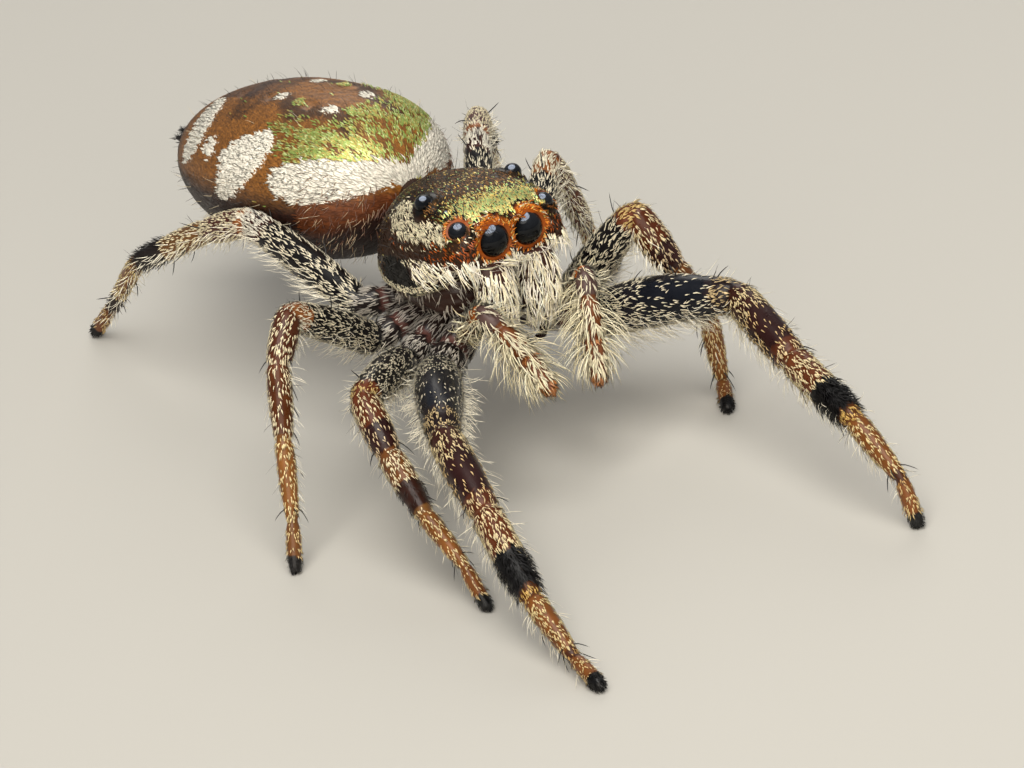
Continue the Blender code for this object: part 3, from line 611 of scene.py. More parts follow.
# Stout black spines by T and u: on top of the thigh, beside the knee, and in pairs under the shin and
# the forefoot
spinePlaces = np.array((
    (1.35, 0.0), (1.62, 0.96), (1.88, 0.08), (1.88, 0.90), (2.9, 0.22), (2.9, 0.78), (3.25, 0.42),
    (3.25, 0.58), (3.55, 0.42), (3.55, 0.58), (3.88, 0.40), (3.88, 0.60), (4.30, 0.42), (4.30, 0.58),
    (4.85, 0.36), (4.85, 0.64), (4.85, 0.15), (4.85, 0.85)))


def spines(form, seed):
    grid = np.linspace(0, 1, 3000)
    v = np.interp(spinePlaces[:, 0], form["piece"](grid), grid)
    u = spinePlaces[:, 1]
    p = form["surface"](u, v)
    out = unit(p - form["surface"]((u + 0.5) % 1, v))
    roots = {"u": u, "v": v, "root": p, "normal": out, "draw": np.random.default_rng(seed + 400)}
    return hairs(roots, form["way"](v), 0.34, 0.024, 0.70, evenTint("#120d0c", len(u)), curl=0.12,
                 jitter=0.15, rings=4, flat=0.8)


for side in ("R", "L"):
    for number in (1, 2, 3, 4):
        makeLeg(side, number)
print("legs made")


# The two feelers beside the jaws
palps = {
    "lengths": (1.05, 0.42, 0.62, 0.72), "radii": (0.14, 0.17, 0.17, 0.17, 0.13),
    "root": (1.02, -1.62, -0.72),
    "poses": {
        # bearings and rises of the four pieces
        "R": ((88, 112, 104, 90), (43, -37, -41, -34)),
        "L": ((92, 124, 126, 124), (44, -53, -60, -62)),
    },
}
palpMarks = (
    (0.0, 0.85, "#5a3420", "#eadfc2", 0.95, 0.24, 0.3), (0.85, 1.0, "#b0622c", "#f0e2bc", 1.0, 0.2, 0.0),
    (1.0, 1.9, "#55403c", "#eadfc2", 0.45, 0.22, 1.5), (1.9, 3.0, "#6e3e20", "#faecc8", 0.95, 0.24, 0.4),
    (3.0, 3.12, "#6e3818", "#c07a40", 0.70, 0.16, 0.0), (3.12, 3.86, "#70432a", "#faecc8", 1.20, 0.21, 0.4),
    (3.86, 4.1, "#6a3a22", "#b4733c", 1.2, 0.14, 0.0),
)


def makePalp(side):
    across = 1 if side == "L" else -1
    x, y, z = palps["root"]
    points = [np.array(carapacePlace @ Vector((across * x, y, z)))]
    for length, bearing, rise in zip(palps["lengths"], *palps["poses"][side]):
        points.append(points[-1] + length * wayOf(side, bearing, rise))
    points[-1] = points[-1] - wayOf(side, palps["poses"][side][0][3], palps["poses"][side][1][3]) * 0.08
    form = limbForm(points, palps["radii"], 1.0)
    edges, skin, hair, sizes = bandTable(palpMarks)
    seed = 60 + (side == "L")

    def rows(v, p):
        return np.searchsorted(edges, form["piece"](v) + 0.04 * wobble(p, 0.15, seed))

    def skinTint(u, v, p):
        return skin[rows(v, p)]

    makeSkin(f"palp{side}Skin", form["surface"], (28, 110), skinTint, "leg",
             [f"palp_{side}_{piece}" for piece in ("femur", "patella", "tibia", "tarsus")])

    def perSquare(u, v, p):
        row = rows(v, p)
        return 420 * sizes[row, 0] * (1 + sizes[row, 2] * (0.15 - 0.5 * np.cos(2 * np.pi * u)))

    roots = scatter(form["surface"], perSquare, 500 + seed)
    row = rows(roots["v"], roots["root"])
    sets = [hairs(roots, form["way"](roots["v"]), sizes[row, 1], 0.026, 0.35, hair[row], curl=0.1,
                  jitter=0.3)]

    def brush(u, v, p):
        t = form["piece"](v)
        aside = np.clip(1.05 - np.cos(2 * np.pi * u), 0, 1.2)
        return 250 * aside * (between(t, 1.75, 3.85, 0.2) + 0.40 * between(t, 0.1, 1.75, 0.1))

    roots = scatter(form["surface"], brush, 520 + seed)
    t = form["piece"](roots["v"])
    long = np.interp(t, (0.0, 1.0, 2.0, 2.6, 3.4, 4.0), (0.34, 0.36, 0.56, 0.62, 0.52, 0.26))
    aside = np.abs(np.sin(2 * np.pi * roots["u"]))
    cream = mixed(evenTint("#fdf3d4", len(t)), hexColour("#f2e2b4"), roots["draw"].uniform(0, 1, len(t)))
    lift = np.interp(t, (0, 2.5, 4.0), (1.15, 1.35, 0.75)) * (0.75 + 0.28 * aside)
    sets.append(hairs(roots, form["way"](roots["v"]), long, 0.023, lift, cream, curl=0.50, jitter=0.14,
                      rings=4))
    coatPiece(f"palp{side}Brush", sets, "bristle")


for side in ("R", "L"):
    makePalp(side)
print("feelers made")


# Carapace: sections from the solids, made smooth, with a raised rim round each eye
carapace = {
    # y, half width, height, squareness, underside
    "sections": np.array((
        (-1.86, 0.98, 1.08, 2.6, 0.46), (-1.78, 1.06, 1.22, 3.0, 0.42), (-1.50, 1.15, 1.38, 3.2, 0.38),
        (-1.12, 1.24, 1.45, 3.2, 0.16), (-0.95, 1.28, 1.47, 3.1, -0.12), (-0.50, 1.30, 1.50, 2.9, -0.30),
        (-0.05, 1.29, 1.46, 2.7, -0.36), (0.40, 1.21, 1.32, 2.4, -0.36), (0.80, 1.03, 1.08, 2.2, -0.30),
        (1.12, 0.80, 0.80, 2.1, -0.16), (1.35, 0.50, 0.50, 2.0, -0.05))),
    "eyes": {
        # CAD name: sideways, y, height, radius, rim height, rim width
        "front_middle": (0.33, -1.72, 0.82, 0.30, 0.022, 0.04),
        "front_side": (0.82, -1.58, 1.05, 0.175, 0.035, 0.04),
        "small": (0.79, -1.22, 1.25, 0.075, 0.020, 0.05),
        "rear": (0.87, -0.69, 1.33, 0.15, 0.085, 0.13),
    },
    "faceShare": 0.16, "rearShare": 0.94,
    "wallFoot": -0.16,  # where the upright side walls turn under
}
fineY = np.linspace(-1.86, 1.35, 400)
fineSections = []
for column in range(1, 5):
    line = np.interp(fineY, carapace["sections"][:, 0], carapace["sections"][:, column])
    padded = np.r_[np.full(25, line[0]), line, np.full(25, line[-1])]
    fineSections.append(np.convolve(padded, np.hanning(51) / np.hanning(51).sum(), "same")[25:-25])


# Points of the carapace in its own frame: u = 0 on top, v = 0 in the middle of the face
def carapaceLocal(u, v):
    face, rear = carapace["faceShare"], carapace["rearShare"]
    y = np.interp(v, (0, face, rear, 1), (-1.86, -1.86, 1.35, 1.35))
    halfWidth, height, power, floor = (np.interp(y, fineY, line) for line in fineSections)
    depth = stance["coatDepth"]
    halfWidth, height = halfWidth - depth, height - depth
    base = np.maximum(floor + 0.10, carapace["wallFoot"])
    floor = floor + depth * 0.6
    s, c = np.sin(2 * np.pi * u), np.cos(2 * np.pi * u)
    reach = (np.abs(s) ** power + np.abs(c) ** power) ** (-1 / power)
    x = -halfWidth * s * reach
    z = base + np.where(c >= 0, height - base, base - floor) * c * reach
    k = np.clip(v / face, 0, 1)
    scale = np.sin(k * np.pi / 2) ** 0.85
    back = np.clip((1 - v) / (1 - rear), 0, 1)
    scale = scale * np.where(v > rear, np.sin(back * np.pi / 2), 1)
    middle = np.where(v < 0.5, 0.78, 0.25)
    x, z = x * scale, middle + (z - middle) * scale
    y = y + 0.02 * np.cos(k * np.pi / 2) ** 0.5 + 0.10 * np.cos(back * np.pi / 2)
    z = z - 0.035 * np.exp(-((y + 0.15) / 0.26) ** 2) * np.clip(c, 0, 1) * np.exp(-(x / 0.6) ** 2)
    p = np.stack([x, y, z], axis=1)
    outward = unit(p - np.array([0, -0.6, 0.35]))
    for ex, ey, ez, radius, rim, wide in carapace["eyes"].values():
        for across in (-1, 1):
            d = np.linalg.norm(p - np.array([across * ex, ey, ez]), axis=1)
            p = p + outward * (rim * np.exp(-((d - radius * 1.2) / wide) ** 2))[:, None]
    return p


def carapaceSurface(u, v):
    return put(carapacePlace, carapaceLocal(u, v))


inverseCarapace = carapacePlace.inverted()
headTints = {name: hexColour(code) for name, code in {
    "black": "#0d0906", "brown": "#2c170b", "olive": "#14100a", "umber": "#3a2210", "rim": "#9a4a0e",
    "cream": "#faecc8", "beard": "#fdf3e0", "orange": "#f08a1c", "orangeDark": "#b4540c", "gold": "#e4d488",
    "green": "#bcd88c", "copper": "#80562a", "face": "#3c2119", "yellow": "#ecc865", "bronze": "#36250f"
    }.items()}


# How much each marking claims a point of the carapace, in its own frame
def headZones(p):
    x, y, z = np.abs(p[:, 0]), p[:, 1], p[:, 2]
    ragged = 0.05 * wobble(p, 0.30, 71)
    cheekTop = np.interp(y, (-1.45, -1.37, -1.13, -0.84, -0.52, -0.17, 0.14, 0.38),
                         (1.0, 1.12, 1.18, 1.17, 1.20, 1.30, 1.12, 0.88))
    cheekFoot = np.interp(y, (-1.45, -1.13, -0.56, 0.05, 0.38), (0.98, 0.86, 0.79, 0.77, 0.84))
    bandFoot = np.interp(y, (-1.88, -1.44, -0.70, -0.23, 0.6), (0.66, 0.60, 0.50, 0.36, 0.30))
    cheek = between(z + ragged, cheekFoot, cheekTop, 0.06) * between(y, -1.46, 0.38, 0.1)
    rims, clear = np.zeros(len(p)), np.ones(len(p))
    for name, wide in (("front_middle", 0.090), ("front_side", 0.050)):
        ex, ey, ez, radius = carapace["eyes"][name][:4]
        d = np.sqrt((x - ex) ** 2 + (y - ey) ** 2 + (z - ez) ** 2)
        upper = np.clip((z - ez) / radius, -1.3, 1)
        reach = radius + wide + 0.30 * wide * upper + 0.035 * wobble(p, 0.11, 72)
        rims = np.maximum(rims, np.clip((reach - d) / 0.03, 0, 1))
        clear = np.minimum(clear, np.clip((d - radius * 1.07) / 0.015, 0, 1))
    # bare knobs round the rear eyes
    tubercle = np.sqrt((x - 0.87) ** 2 + (y + 0.66) ** 2 + (z - 1.33) ** 2)
    clear = np.minimum(clear, np.clip((tubercle - 0.26) / 0.04, 0.04, 1))
    bare = np.clip(1.30 - np.hypot((y + 0.12) / 0.42, (z - 0.10) / 0.26), 0, 0.35) / 0.35
    lift = z - np.interp(y, fineY, fineSections[3])  # height above the carapace's edge
    gold = between(y + 1.5 * ragged, -2.1, -1.22, 0.5) * between(z + ragged, 1.10, 2.0, 0.08)
    face = np.clip((-1.70 - y) / 0.15, 0, 1)
    beard = (z + 1.8 * ragged < bandFoot) * (1 - bare) * (y < -0.62 + 0.2 * z + ragged) * (z > 0.04)
    beardEdge = np.interp(y, (-1.15, -0.85), (-0.6, 0.33))
    margin = between(lift, 0.15, 0.245, 0.02) + 0.6 * between(lift, 0.02, 0.09, 0.02)
    return {
        "clear": clear, "rim": rims, "cheek": cheek * (1 - rims), "gold": gold * (1 - rims) * (1 - cheek),
        "band": between(z + ragged, bandFoot, cheekFoot, 0.06) * (y < 0.5) * (1 - rims),
        "beard": beard * (lift > beardEdge) * (1 - rims) * (1 + 0.6 * face),
        "bare": bare * (lift > 0.27),
        "margin": margin * (y > -0.98), "lift": lift,
        "side": (z + ragged < 0.9) * (y > 0.1),
        "flecked": between(z, 0.0, 0.60, 0.16) * between(y, -1.7, -0.30, 0.2) * (lift > 0.3),
        "top": np.clip((z - 0.7) / 0.4, 0, 1) * (1 - cheek) * (1 - rims) * (1 - gold),
    }


def headSkinTint(u, v, world):
    p = put(inverseCarapace, world)
    zones = headZones(p)
    colour = np.tile(headTints["black"], (len(p), 1))
    colour = mixed(colour, headTints["brown"], zones["side"] * 0.6)
    colour = mixed(colour, headTints["umber"], zones["band"] * 0.7)
    colour = mixed(colour, headTints["olive"], zones["bare"])
    colour = mixed(colour, headTints["face"], np.minimum(zones["beard"], 1) * 0.7)
    colour = mixed(colour, headTints["brown"], zones["cheek"] * 0.8)
    return mixed(colour, headTints["rim"], zones["rim"] * 0.9)


makeSkin("carapaceSkin", carapaceSurface, (220, 200), headSkinTint, "shell", ["carapace"])


# The way hair is combed: backwards on top, forwards on the cheeks, down and forwards below
def headLie(p):
    x, y, z = p[:, 0], p[:, 1], p[:, 2]
    low = np.clip((0.75 - z) / 0.35, 0, 1)
    high = np.clip((z - 1.15) / 0.2, 0, 1)
    face = np.clip((-1.35 - y) / 0.35, 0, 1)
    forward = -1 + 1.9 * high + 0.5 * low * face
    down = -0.35 - 0.15 * low - 1.1 * low * face + 0.3 * high
    inward = -0.3 * np.sign(x) * low * (y < -1.5)
    edge = np.clip((0.30 - headZones(p)["lift"]) / 0.05, 0, 1) * (y > -1.0)
    return turned(carapacePlace, np.stack([inward, forward, down * (1 - 0.9 * edge)], axis=1))


# Takes the second colour for that share of the hairs, drawn one by one
def pick(own, first, second, share):
    chosen = own.uniform(0, 1, len(share) if np.ndim(share) else 1) < share
    return np.where(chosen[:, None], second, first)


def headCoat():
    def dense(u, v, world):
        z = headZones(put(inverseCarapace, world))
        patchy = np.clip(0.9 + 0.8 * wobble(world, 0.16, 77), 0.2, 2)
        return z["clear"] * (900 * z["cheek"] * patchy + 480 * z["band"] + 2300 * z["rim"]
                             + 1300 * z["margin"] + 90 * z["side"] + 190 * z["flecked"] + 800 * z["bare"])

    roots = scatter(carapaceSurface, dense, 701)
    p = put(inverseCarapace, roots["root"])
    zones, own, count = headZones(p), roots["draw"], len(p)
    tints = np.tile(headTints["cream"], (count, 1))
    orange = pick(own, headTints["orange"], headTints["orangeDark"], np.full(count, 0.35))
    orange = pick(own, orange, headTints["yellow"], np.full(count, 0.15))
    tints = np.where((own.uniform(0, 1, count) < zones["rim"])[:, None], orange, tints)
    inBand = own.uniform(0, 1, count) < zones["band"] * 0.96
    nearEyes = np.clip((-0.9 - p[:, 1]) / 0.5, 0, 1)
    umber = pick(own, headTints["umber"], headTints["orangeDark"], 0.06 + 0.5 * nearEyes)
    tints = np.where(inBand[:, None], umber, tints)
    tints = np.where((own.uniform(0, 1, count) < zones["side"] * (zones["margin"] < 0.2))[:, None],
                     headTints["umber"], tints)
    tints = np.where((zones["bare"] > 0.3)[:, None], headTints["olive"], tints)
    lie = headLie(p)
    ring = np.zeros_like(p)
    for name in ("front_middle", "front_side"):
        ex, ey, ez, radius = carapace["eyes"][name][:4]
        for across in (-1, 1):
            gap = p - np.array([across * ex, ey, ez])
            near = np.clip((radius + 0.17 - np.linalg.norm(gap, axis=1)) / 0.17, 0, 1)
            spin = np.cross(gap, np.array([0, -1.0, 0]) * across)
            ring += turned(carapacePlace, unit(gap) * 0.8 + unit(spin) * 0.6) * near[:, None] * 3
    long = np.where(zones["rim"] > 0.3, 0.10, np.where(zones["cheek"] > 0.3, 0.20, 0.13))
    wide = np.where(zones["rim"] > 0.3, 0.016, 0.022)
    coatPiece("headScales", [hairs(roots, lie + ring, long, wide, 0.24, tints, curl=0.15, jitter=0.22)],
              "scale")

    def metallic(u, v, world):
        z = headZones(put(inverseCarapace, world))
        rear = 0.8 + 0.3 * wobble(world, 0.35, 78)
        return z["clear"] * (1700 * z["gold"] + 1900 * z["top"] * rear + 160 * z["side"])

    roots = scatter(carapaceSurface, metallic, 702)
    p = put(inverseCarapace, roots["root"])
    own, count = roots["draw"], len(p)
    tints = pick(own, headTints["gold"], headTints["green"], np.full(count, 0.4))
    front = headZones(p)["gold"]
    tints = pick(own, tints, headTints["yellow"], 0.30 - 0.20 * front)
    tints = pick(own, tints, headTints["copper"], 0.80 * (1 - front))
    tints = pick(own, tints, headTints["bronze"], 0.72 - 0.70 * front)
    swept = evenWay(carapacePlace, (0.0, 1.0, 0.35), count)  # up the face and back over the top
    coatPiece("headGoldScales", [hairs(roots, swept, 0.105, 0.024, 0.10, tints, curl=0.08, jitter=0.16)],
              "gold")

    def beard(u, v, world):
        z = headZones(put(inverseCarapace, world))
        return 340 * z["beard"] * z["clear"] * np.clip(0.8 + 0.9 * wobble(world, 0.20, 75), 0.1, 2)

    roots = scatter(carapaceSurface, beard, 703)
    p = put(inverseCarapace, roots["root"])
    own, count = roots["draw"], len(p)
    tints = pick(own, headTints["beard"], headTints["cream"], np.full(count, 0.4))
    front = np.clip((-p[:, 1] - 0.9) / 0.9, 0, 1)
    high = np.clip((p[:, 2] - 0.40) / 0.25, 0, 1) * front
    long = 0.28 + 0.24 * front - 0.26 * high
    sets = [hairs(roots, headLie(p), long, 0.025, 0.22 + 0.2 * front, tints, curl=0.25, jitter=0.12,
                  rings=4, swirl=0.35)]

    def bristle(u, v, world):
        q = put(inverseCarapace, world)
        brow = 26 * between(q[:, 1], -1.95, -1.3, 0.1) * (q[:, 2] > 1.08)
        return brow + 9 * (q[:, 2] > 1.2) + 10 * between(q[:, 2], 0.2, 1.2, 0.1) * (q[:, 1] < 0.3)

    roots = scatter(carapaceSurface, bristle, 704)
    dark = evenTint("#14100e", len(roots["u"]))
    ahead = evenWay(carapacePlace, (0.0, -1.0, 0.2), len(dark))
    sets.append(hairs(roots, ahead, 0.36, 0.013, 1.0, dark, curl=-0.1, jitter=0.6, rings=4))
    coatPiece("headBeard", sets, "bristle")


headCoat()
print("head made")


# Eight eyes, each a whole ball with its lower half sunk in the head
lenses = []
for kind, (x, y, z, radius, _, _) in carapace["eyes"].items():
    for side in ("R", "L"):
        bm = bmesh.new()
        bmesh.ops.create_uvsphere(bm, u_segments=64, v_segments=40, radius=radius)
        centre = carapacePlace @ Vector((x if side == "L" else -x, y, z))
        for vert in bm.verts:
            vert.co = toPart(np.array(vert.co + centre))
        mesh = bpy.data.meshes.new("eye")
        bm.to_mesh(mesh)
        bm.free()
        lenses.append(finishPiece(f"eye_{kind}{side}Lens", mesh, "eye", [f"eye_{kind}_{side}"]))
print("eyes made")


# The abdomen is an egg, blunt at the waist and pointed at the spinnerets
abdomen = {
    "length": 6.45, "width": 3.60, "height": 2.95, "frontBluntness": 2.9, "tailBluntness": 1.75,
    "taper": 0.06, "coatDepth": 0.07, "midline": -8.0,
}


# u = 0 along the back, turning towards the spider's right; v = 0 at the waist
def abdomenLocal(u, v):
    s = -np.cos(np.pi * v)
    bluntness = np.where(s < 0, abdomen["frontBluntness"], abdomen["tailBluntness"])
    end = np.sqrt(np.maximum(0, 1 - np.abs(s) ** bluntness))
    egg = 1 - abdomen["taper"] * s
    depth = abdomen["coatDepth"]
    halfWidth = (abdomen["width"] / 2 - depth) * end * egg
    halfHeight = (abdomen["height"] / 2 - depth) * end * egg
    y = (abdomen["length"] / 2 - depth) * s
    a = 2 * np.pi * u
    p = np.stack([-halfWidth * np.sin(a), y, halfHeight * np.cos(a)], axis=1)
    for dy, dx in ((-1.2, 0.45), (-0.1, 0.50), (0.9, 0.42)):
        for across in (-1, 1):
            d = np.hypot(p[:, 1] - dy, p[:, 0] - across * dx - 0.2)
            p[:, 2] -= 0.03 * np.exp(-(d / 0.12) ** 2) * (p[:, 2] > 0)
    return p


def abdomenSurface(u, v):
    return put(abdomenPlace, abdomenLocal(u, v))


inverseAbdomen = abdomenPlace.inverted()
furTints = {name: hexColour(code) for name, code in {
    "white": "#fff7e6", "orange": "#a56b2b", "brown": "#744a20", "dark": "#3a2414", "venter": "#1f130e",
    "flank": "#2e1710", "fox": "#8a4a22", "green": "#a6bc60", "gold": "#c6b05c", "lime": "#dbe79a",
    "dusk": "#33282a"}.items()}


# Markings by length along the body and degrees from the midline of the back
def abdomenZones(p):
    y = p[:, 1]
    angle = np.degrees(np.arctan2(-p[:, 0], p[:, 2])) - abdomen["midline"]
    angle = np.abs((angle + 180) % 360 - 180)
    rough = wobble(p, 0.16, 81)
    comb = wobble(p * np.array([1, 0.25, 1]), 0.10, 82)
    y2, a2 = y + 0.05 * rough, angle + 2.2 * comb
    bandTop = np.interp(y2, (-3.12, -3.05, -2.88, -2.61, -2.25, -1.91, -1.75, -1.49, -1.38),
                        (-5, 20, 44, 52, 58, 62, 66, 70, 76))
    bandFoot = np.interp(y2, (-3.20, -3.14, -3.0, -2.75, -2.3, -1.55, -1.36), (30, 66, 82, 86, 89, 86, 77))
    white = (a2 > bandTop) & (a2 < bandFoot) & (y2 < -1.34)
    blotch = (46, 51, 58, 66, 74, 82, 90, 96)
    low = np.interp(a2, blotch, (-0.87, -1.08, -1.23, -1.10, -0.97, -0.71, -0.42, 0.0))
    high = np.interp(a2, blotch, (-0.87, -0.60, -0.20, 0.08, 0.11, 0.08, 0.10, 0.0))
    white |= (y2 > low) & (y2 < high)
    white |= np.hypot((y - 0.62) / 0.20, (a2 - 66) / 6.5) < 1 + 0.2 * rough
    low = np.interp(a2, (20, 23, 34, 46, 59, 69, 76, 82), (1.62, 1.32, 1.16, 1.06, 1.02, 1.13, 1.27, 1.60))
    white |= (y2 > low) & (y2 < 1.70) & (a2 > 20) & (a2 < 82)
    for dotY, dotAngle in ((-0.34, 15.5), (-1.70, 17.0)):
        white |= np.hypot((y - dotY) / 0.11, (angle - dotAngle) / 4.6) < 1 + 0.25 * rough
    green = between(y, -3.1, -2.15, 0.8) * between(angle, -1, 60, 14)
    green = green * np.interp(angle, (0, 18, 34), (0.30, 0.35, 1))
    green = np.maximum(green, between(y, -2.9, -1.60, 0.6) * between(angle, 34, 63, 9))
    green = np.maximum(green, 0.22 * between(y, -1.8, -0.9, 0.5) * between(angle, 32, 60, 9))
    for fleckY, fleckAngle in ((-0.93, 19), (-2.05, 8), (-2.27, 6)):
        green = np.maximum(green, 0.7 * (np.hypot((y - fleckY) / 0.14, (angle - fleckAngle) / 5) < 1))
    wave = 24 + 6 * np.sin(y * 4.2)
    arches = between(angle, wave - 7, wave + 8, 6) * between(y, -2.5, -0.35, 0.3)
    arches = np.maximum(arches, 0.8 * between(y + 0.010 * angle, 0.55, 0.95, 0.25) * (angle < 45))
    arches = np.maximum(arches, 0.8 * between(y + 0.012 * angle, 1.55, 1.95, 0.25) * (angle < 50))
    arches = np.maximum(arches, 0.7 * between(y - 0.004 * angle, -0.15, 0.12, 0.2) * (angle < 40))
    return {"white": white.astype(float), "green": green, "arches": np.clip(arches + 0.25 * rough, 0, 1),
            "flank": np.clip((angle - 84) / 12, 0, 1), "venter": np.clip((angle - 128) / 20, 0, 1),
            "tail": np.clip((y - 1.9) / 0.6, 0, 1), "angle": angle, "y": y, "rough": rough}


# White hair grows in ridges along the body, about an eighth of a millimetre apart
def ridges(z):
    return np.sin(np.radians(z["angle"] + 2.0 * z["y"]) * 82 + 1.8 * z["rough"])


# Colours of skin and fur alike, and the markings they come from
def abdomenTint(p):
    z = abdomenZones(p)
    colour = mixed(np.tile(furTints["orange"], (len(p), 1)), furTints["brown"],
                   np.clip(0.45 + 0.5 * z["rough"], 0, 1))
    colour = mixed(colour, furTints["dark"], z["arches"] * 0.85)
    colour = mixed(colour, furTints["dusk"], 0.55 * between(z["y"], 0.2, 1.5, 0.5) * (z["angle"] < 22))
    colour = mixed(colour, furTints["flank"], z["flank"])
    colour = mixed(colour, furTints["venter"], np.maximum(z["venter"], z["tail"] * 0.8))
    colour = mixed(colour, furTints["fox"], 0.6 * between(z["angle"], 84, 112, 12) * (z["y"] < -1.9))
    return mixed(colour, furTints["white"], z["white"]), z


def abdomenSkinTint(u, v, world):
    colour, z = abdomenTint(put(inverseAbdomen, world))
    return mixed(colour * 0.95, furTints["white"], z["white"])


makeSkin("abdomenSkin", abdomenSurface, (200, 190), abdomenSkinTint, "pelt", ["abdomen"])


# The fur is split in three along the body: name, from, to, seed
furParts = (("abdomenFurFront", -4.0, -1.25, 801), ("abdomenFurMiddle", -1.25, 0.55, 802),
            ("abdomenFurRear", 0.55, 4.0, 803))


def abdomenCoat():
    back = turned(abdomenPlace, np.array([[0.0, 1.0, 0.0]]))[0]
    for name, first, last, seed in furParts:
        def furry(u, v, world):
            p = put(inverseAbdomen, world)
            z = abdomenZones(p)
            inside = (p[:, 1] >= first) & (p[:, 1] < last)
            return (900 * (1 - 0.6 * z["flank"]) + 420 * z["white"]) * inside * (1 - 0.5 * z["venter"])

        roots = scatter(abdomenSurface, furry, seed, 18500)
        tints, z = abdomenTint(put(inverseAbdomen, roots["root"]))
        long = 0.15 + 0.05 * z["white"] + 0.08 * z["flank"]
        ridge = ridges(z)
        roots["root"] = roots["root"] + roots["normal"] * (0.014 * ridge * z["white"])[:, None]
        lie = back + 0.25 * (1 - z["white"])[:, None] * np.cross(roots["normal"], back) * np.sign(
            roots["root"][:, :1] - 0.2)
        # painted shade: white hairs in the grooves between the ridges are tinted 12% darker
        tints = tints * (1 - 0.12 * (ridge < -0.45) * z["white"])[:, None]
        sets = [hairs(roots, lie, long, 0.028 + 0.006 * z["white"], 0.06 - 0.01 * z["white"], tints,
                      curl=0.06, jitter=0.12 - 0.05 * z["white"], flat=0.10,
                      spread=(0.16 - 0.12 * z["white"])[:, None])]
        coatPiece(name, sets, "fur")

    def metallic(u, v, world):
        z = abdomenZones(put(inverseAbdomen, world))
        patchy = np.clip(0.62 + 0.9 * wobble(world, 0.30, 84), 0, 1)
        return 2500 * z["green"] * patchy * (1 - z["white"]) + 1.5 * (1 - z["flank"]) * (1 - z["white"])

    roots = scatter(abdomenSurface, metallic, 804, 9000)
    own, count = roots["draw"], len(roots["u"])
    roots["root"] = roots["root"] + roots["normal"] * 0.020
    tints = pick(own, furTints["green"], furTints["lime"], np.full(count, 0.3))
    tints = pick(own, tints, furTints["gold"], np.full(count, 0.35))
    sets = [hairs(roots, np.tile(back, (count, 1)), 0.095, 0.024, 0.12, tints, curl=0.08, jitter=0.2,
                  flat=0.2)]
    coatPiece("abdomenGoldScales", sets, "lime")

    def standing(u, v, world):
        z = abdomenZones(put(inverseAbdomen, world))
        return 5 + 12 * z["flank"]

    roots = scatter(abdomenSurface, standing, 805)
    z = abdomenZones(put(inverseAbdomen, roots["root"]))
    own, count = roots["draw"], len(roots["u"])
    tints = pick(own, hexColour("#241812"), hexColour("#cdbd9c"), np.where(z["flank"] > 0.5, 0.45, 0.08))
    sets = [hairs(roots, np.tile(back, (count, 1)), 0.23, 0.008, 0.85, tints, curl=0.15, jitter=0.35,
                  rings=4)]

    def shoulder(u, v, world):
        z = abdomenZones(put(inverseAbdomen, world))
        return 110 * between(z["y"], -3.3, -2.1, 0.4) * between(z["angle"], 70, 130, 20)

    roots = scatter(abdomenSurface, shoulder, 806)
    z = abdomenZones(put(inverseAbdomen, roots["root"]))
    own, count = roots["draw"], len(roots["u"])
    tints = pick(own, hexColour("#6a3f26"), hexColour("#a88a68"), np.where(z["angle"] > 95, 0.35, 0.2))
    down = back * 0.5 + np.array([0, 0, -0.6])
    sets.append(hairs(roots, np.tile(down, (count, 1)), 0.19, 0.012, 0.35, tints, curl=0.2, jitter=0.30,
                      rings=4))
    coatPiece("abdomenLongHair", sets, "bristle")


abdomenCoat()
print("abdomen made")


# Underside: breastplate, waist and spinnerets
sternum = {"length": 2.5, "width": 1.25, "depth": 0.85, "y": -0.15, "z": -0.78}


# One colour, a little cloudy
def plain(code):
    return lambda u, v, p: evenTint(code, len(u)) * (1 + 0.15 * wobble(p, 0.2, 91))[:, None]


def sternumSurface(u, v):
    a, b = 2 * np.pi * u, np.pi * v
    p = np.stack([-sternum["width"] / 2 * np.sin(b) * np.sin(a), -sternum["length"] / 2 * np.cos(b),
                  sternum["depth"] / 2 * np.sin(b) * np.cos(a)], axis=1) * 0.98
    return put(carapacePlace, p + np.array([0, sternum["y"], sternum["z"]]))


makeSkin("breastplateSkin", sternumSurface, (64, 60), plain("#33241f"), "leg",
         ["breastplate"])
sternumRoots = scatter(sternumSurface, lambda u, v, p: np.full(len(u), 90.0), 901)
grey = evenTint("#b8aea0", len(sternumRoots["u"]))
backward = np.tile((0.0, 1.0, -0.2), (len(grey), 1))
sternumHair = hairs(sternumRoots, backward, 0.26, 0.016, 0.4, grey, curl=0.1, jitter=0.4, rings=3)
coatPiece("breastplateHair", [sternumHair], "bristle")

# Soft wall between the hips and the carapace's edge, drawn up to the carapace so no gap shows
flank = {"halfWidth": 0.96, "halfLength": 1.15, "y": -0.05, "top": -0.01, "bottom": -0.70}


def flankSurface(u, v):
    rise = np.clip((v - 0.2) / 0.6, 0, 1)
    shrink = np.interp(v, (0, 0.2, 0.35, 0.65, 0.8, 1), (0, 0.86, 0.98, 1.0, 0.96, 0))
    shrink = shrink * (1 - 0.006 * np.sin(rise * 25))
    c, s = np.cos(2 * np.pi * u), np.sin(2 * np.pi * u)
    reach = (np.abs(s) ** 3 + np.abs(c) ** 3) ** (-1 / 3)
    x, y = flank["halfWidth"] * c * reach * shrink, flank["y"] + flank["halfLength"] * s * reach * shrink
    z = flank["bottom"] + (flank["top"] - flank["bottom"]) * rise
    return put(carapacePlace, np.stack([x, y, z], axis=1))


makeSkin("flankSkin", flankSurface, (120, 60), plain("#38251f"), "leg", ["breastplate"])


def flankDensity(u, v, p):
    return 120 * between(v, 0.2, 0.78, 0.05) * np.clip(0.4 + 1.4 * wobble(p, 0.35, 93), 0, 2)


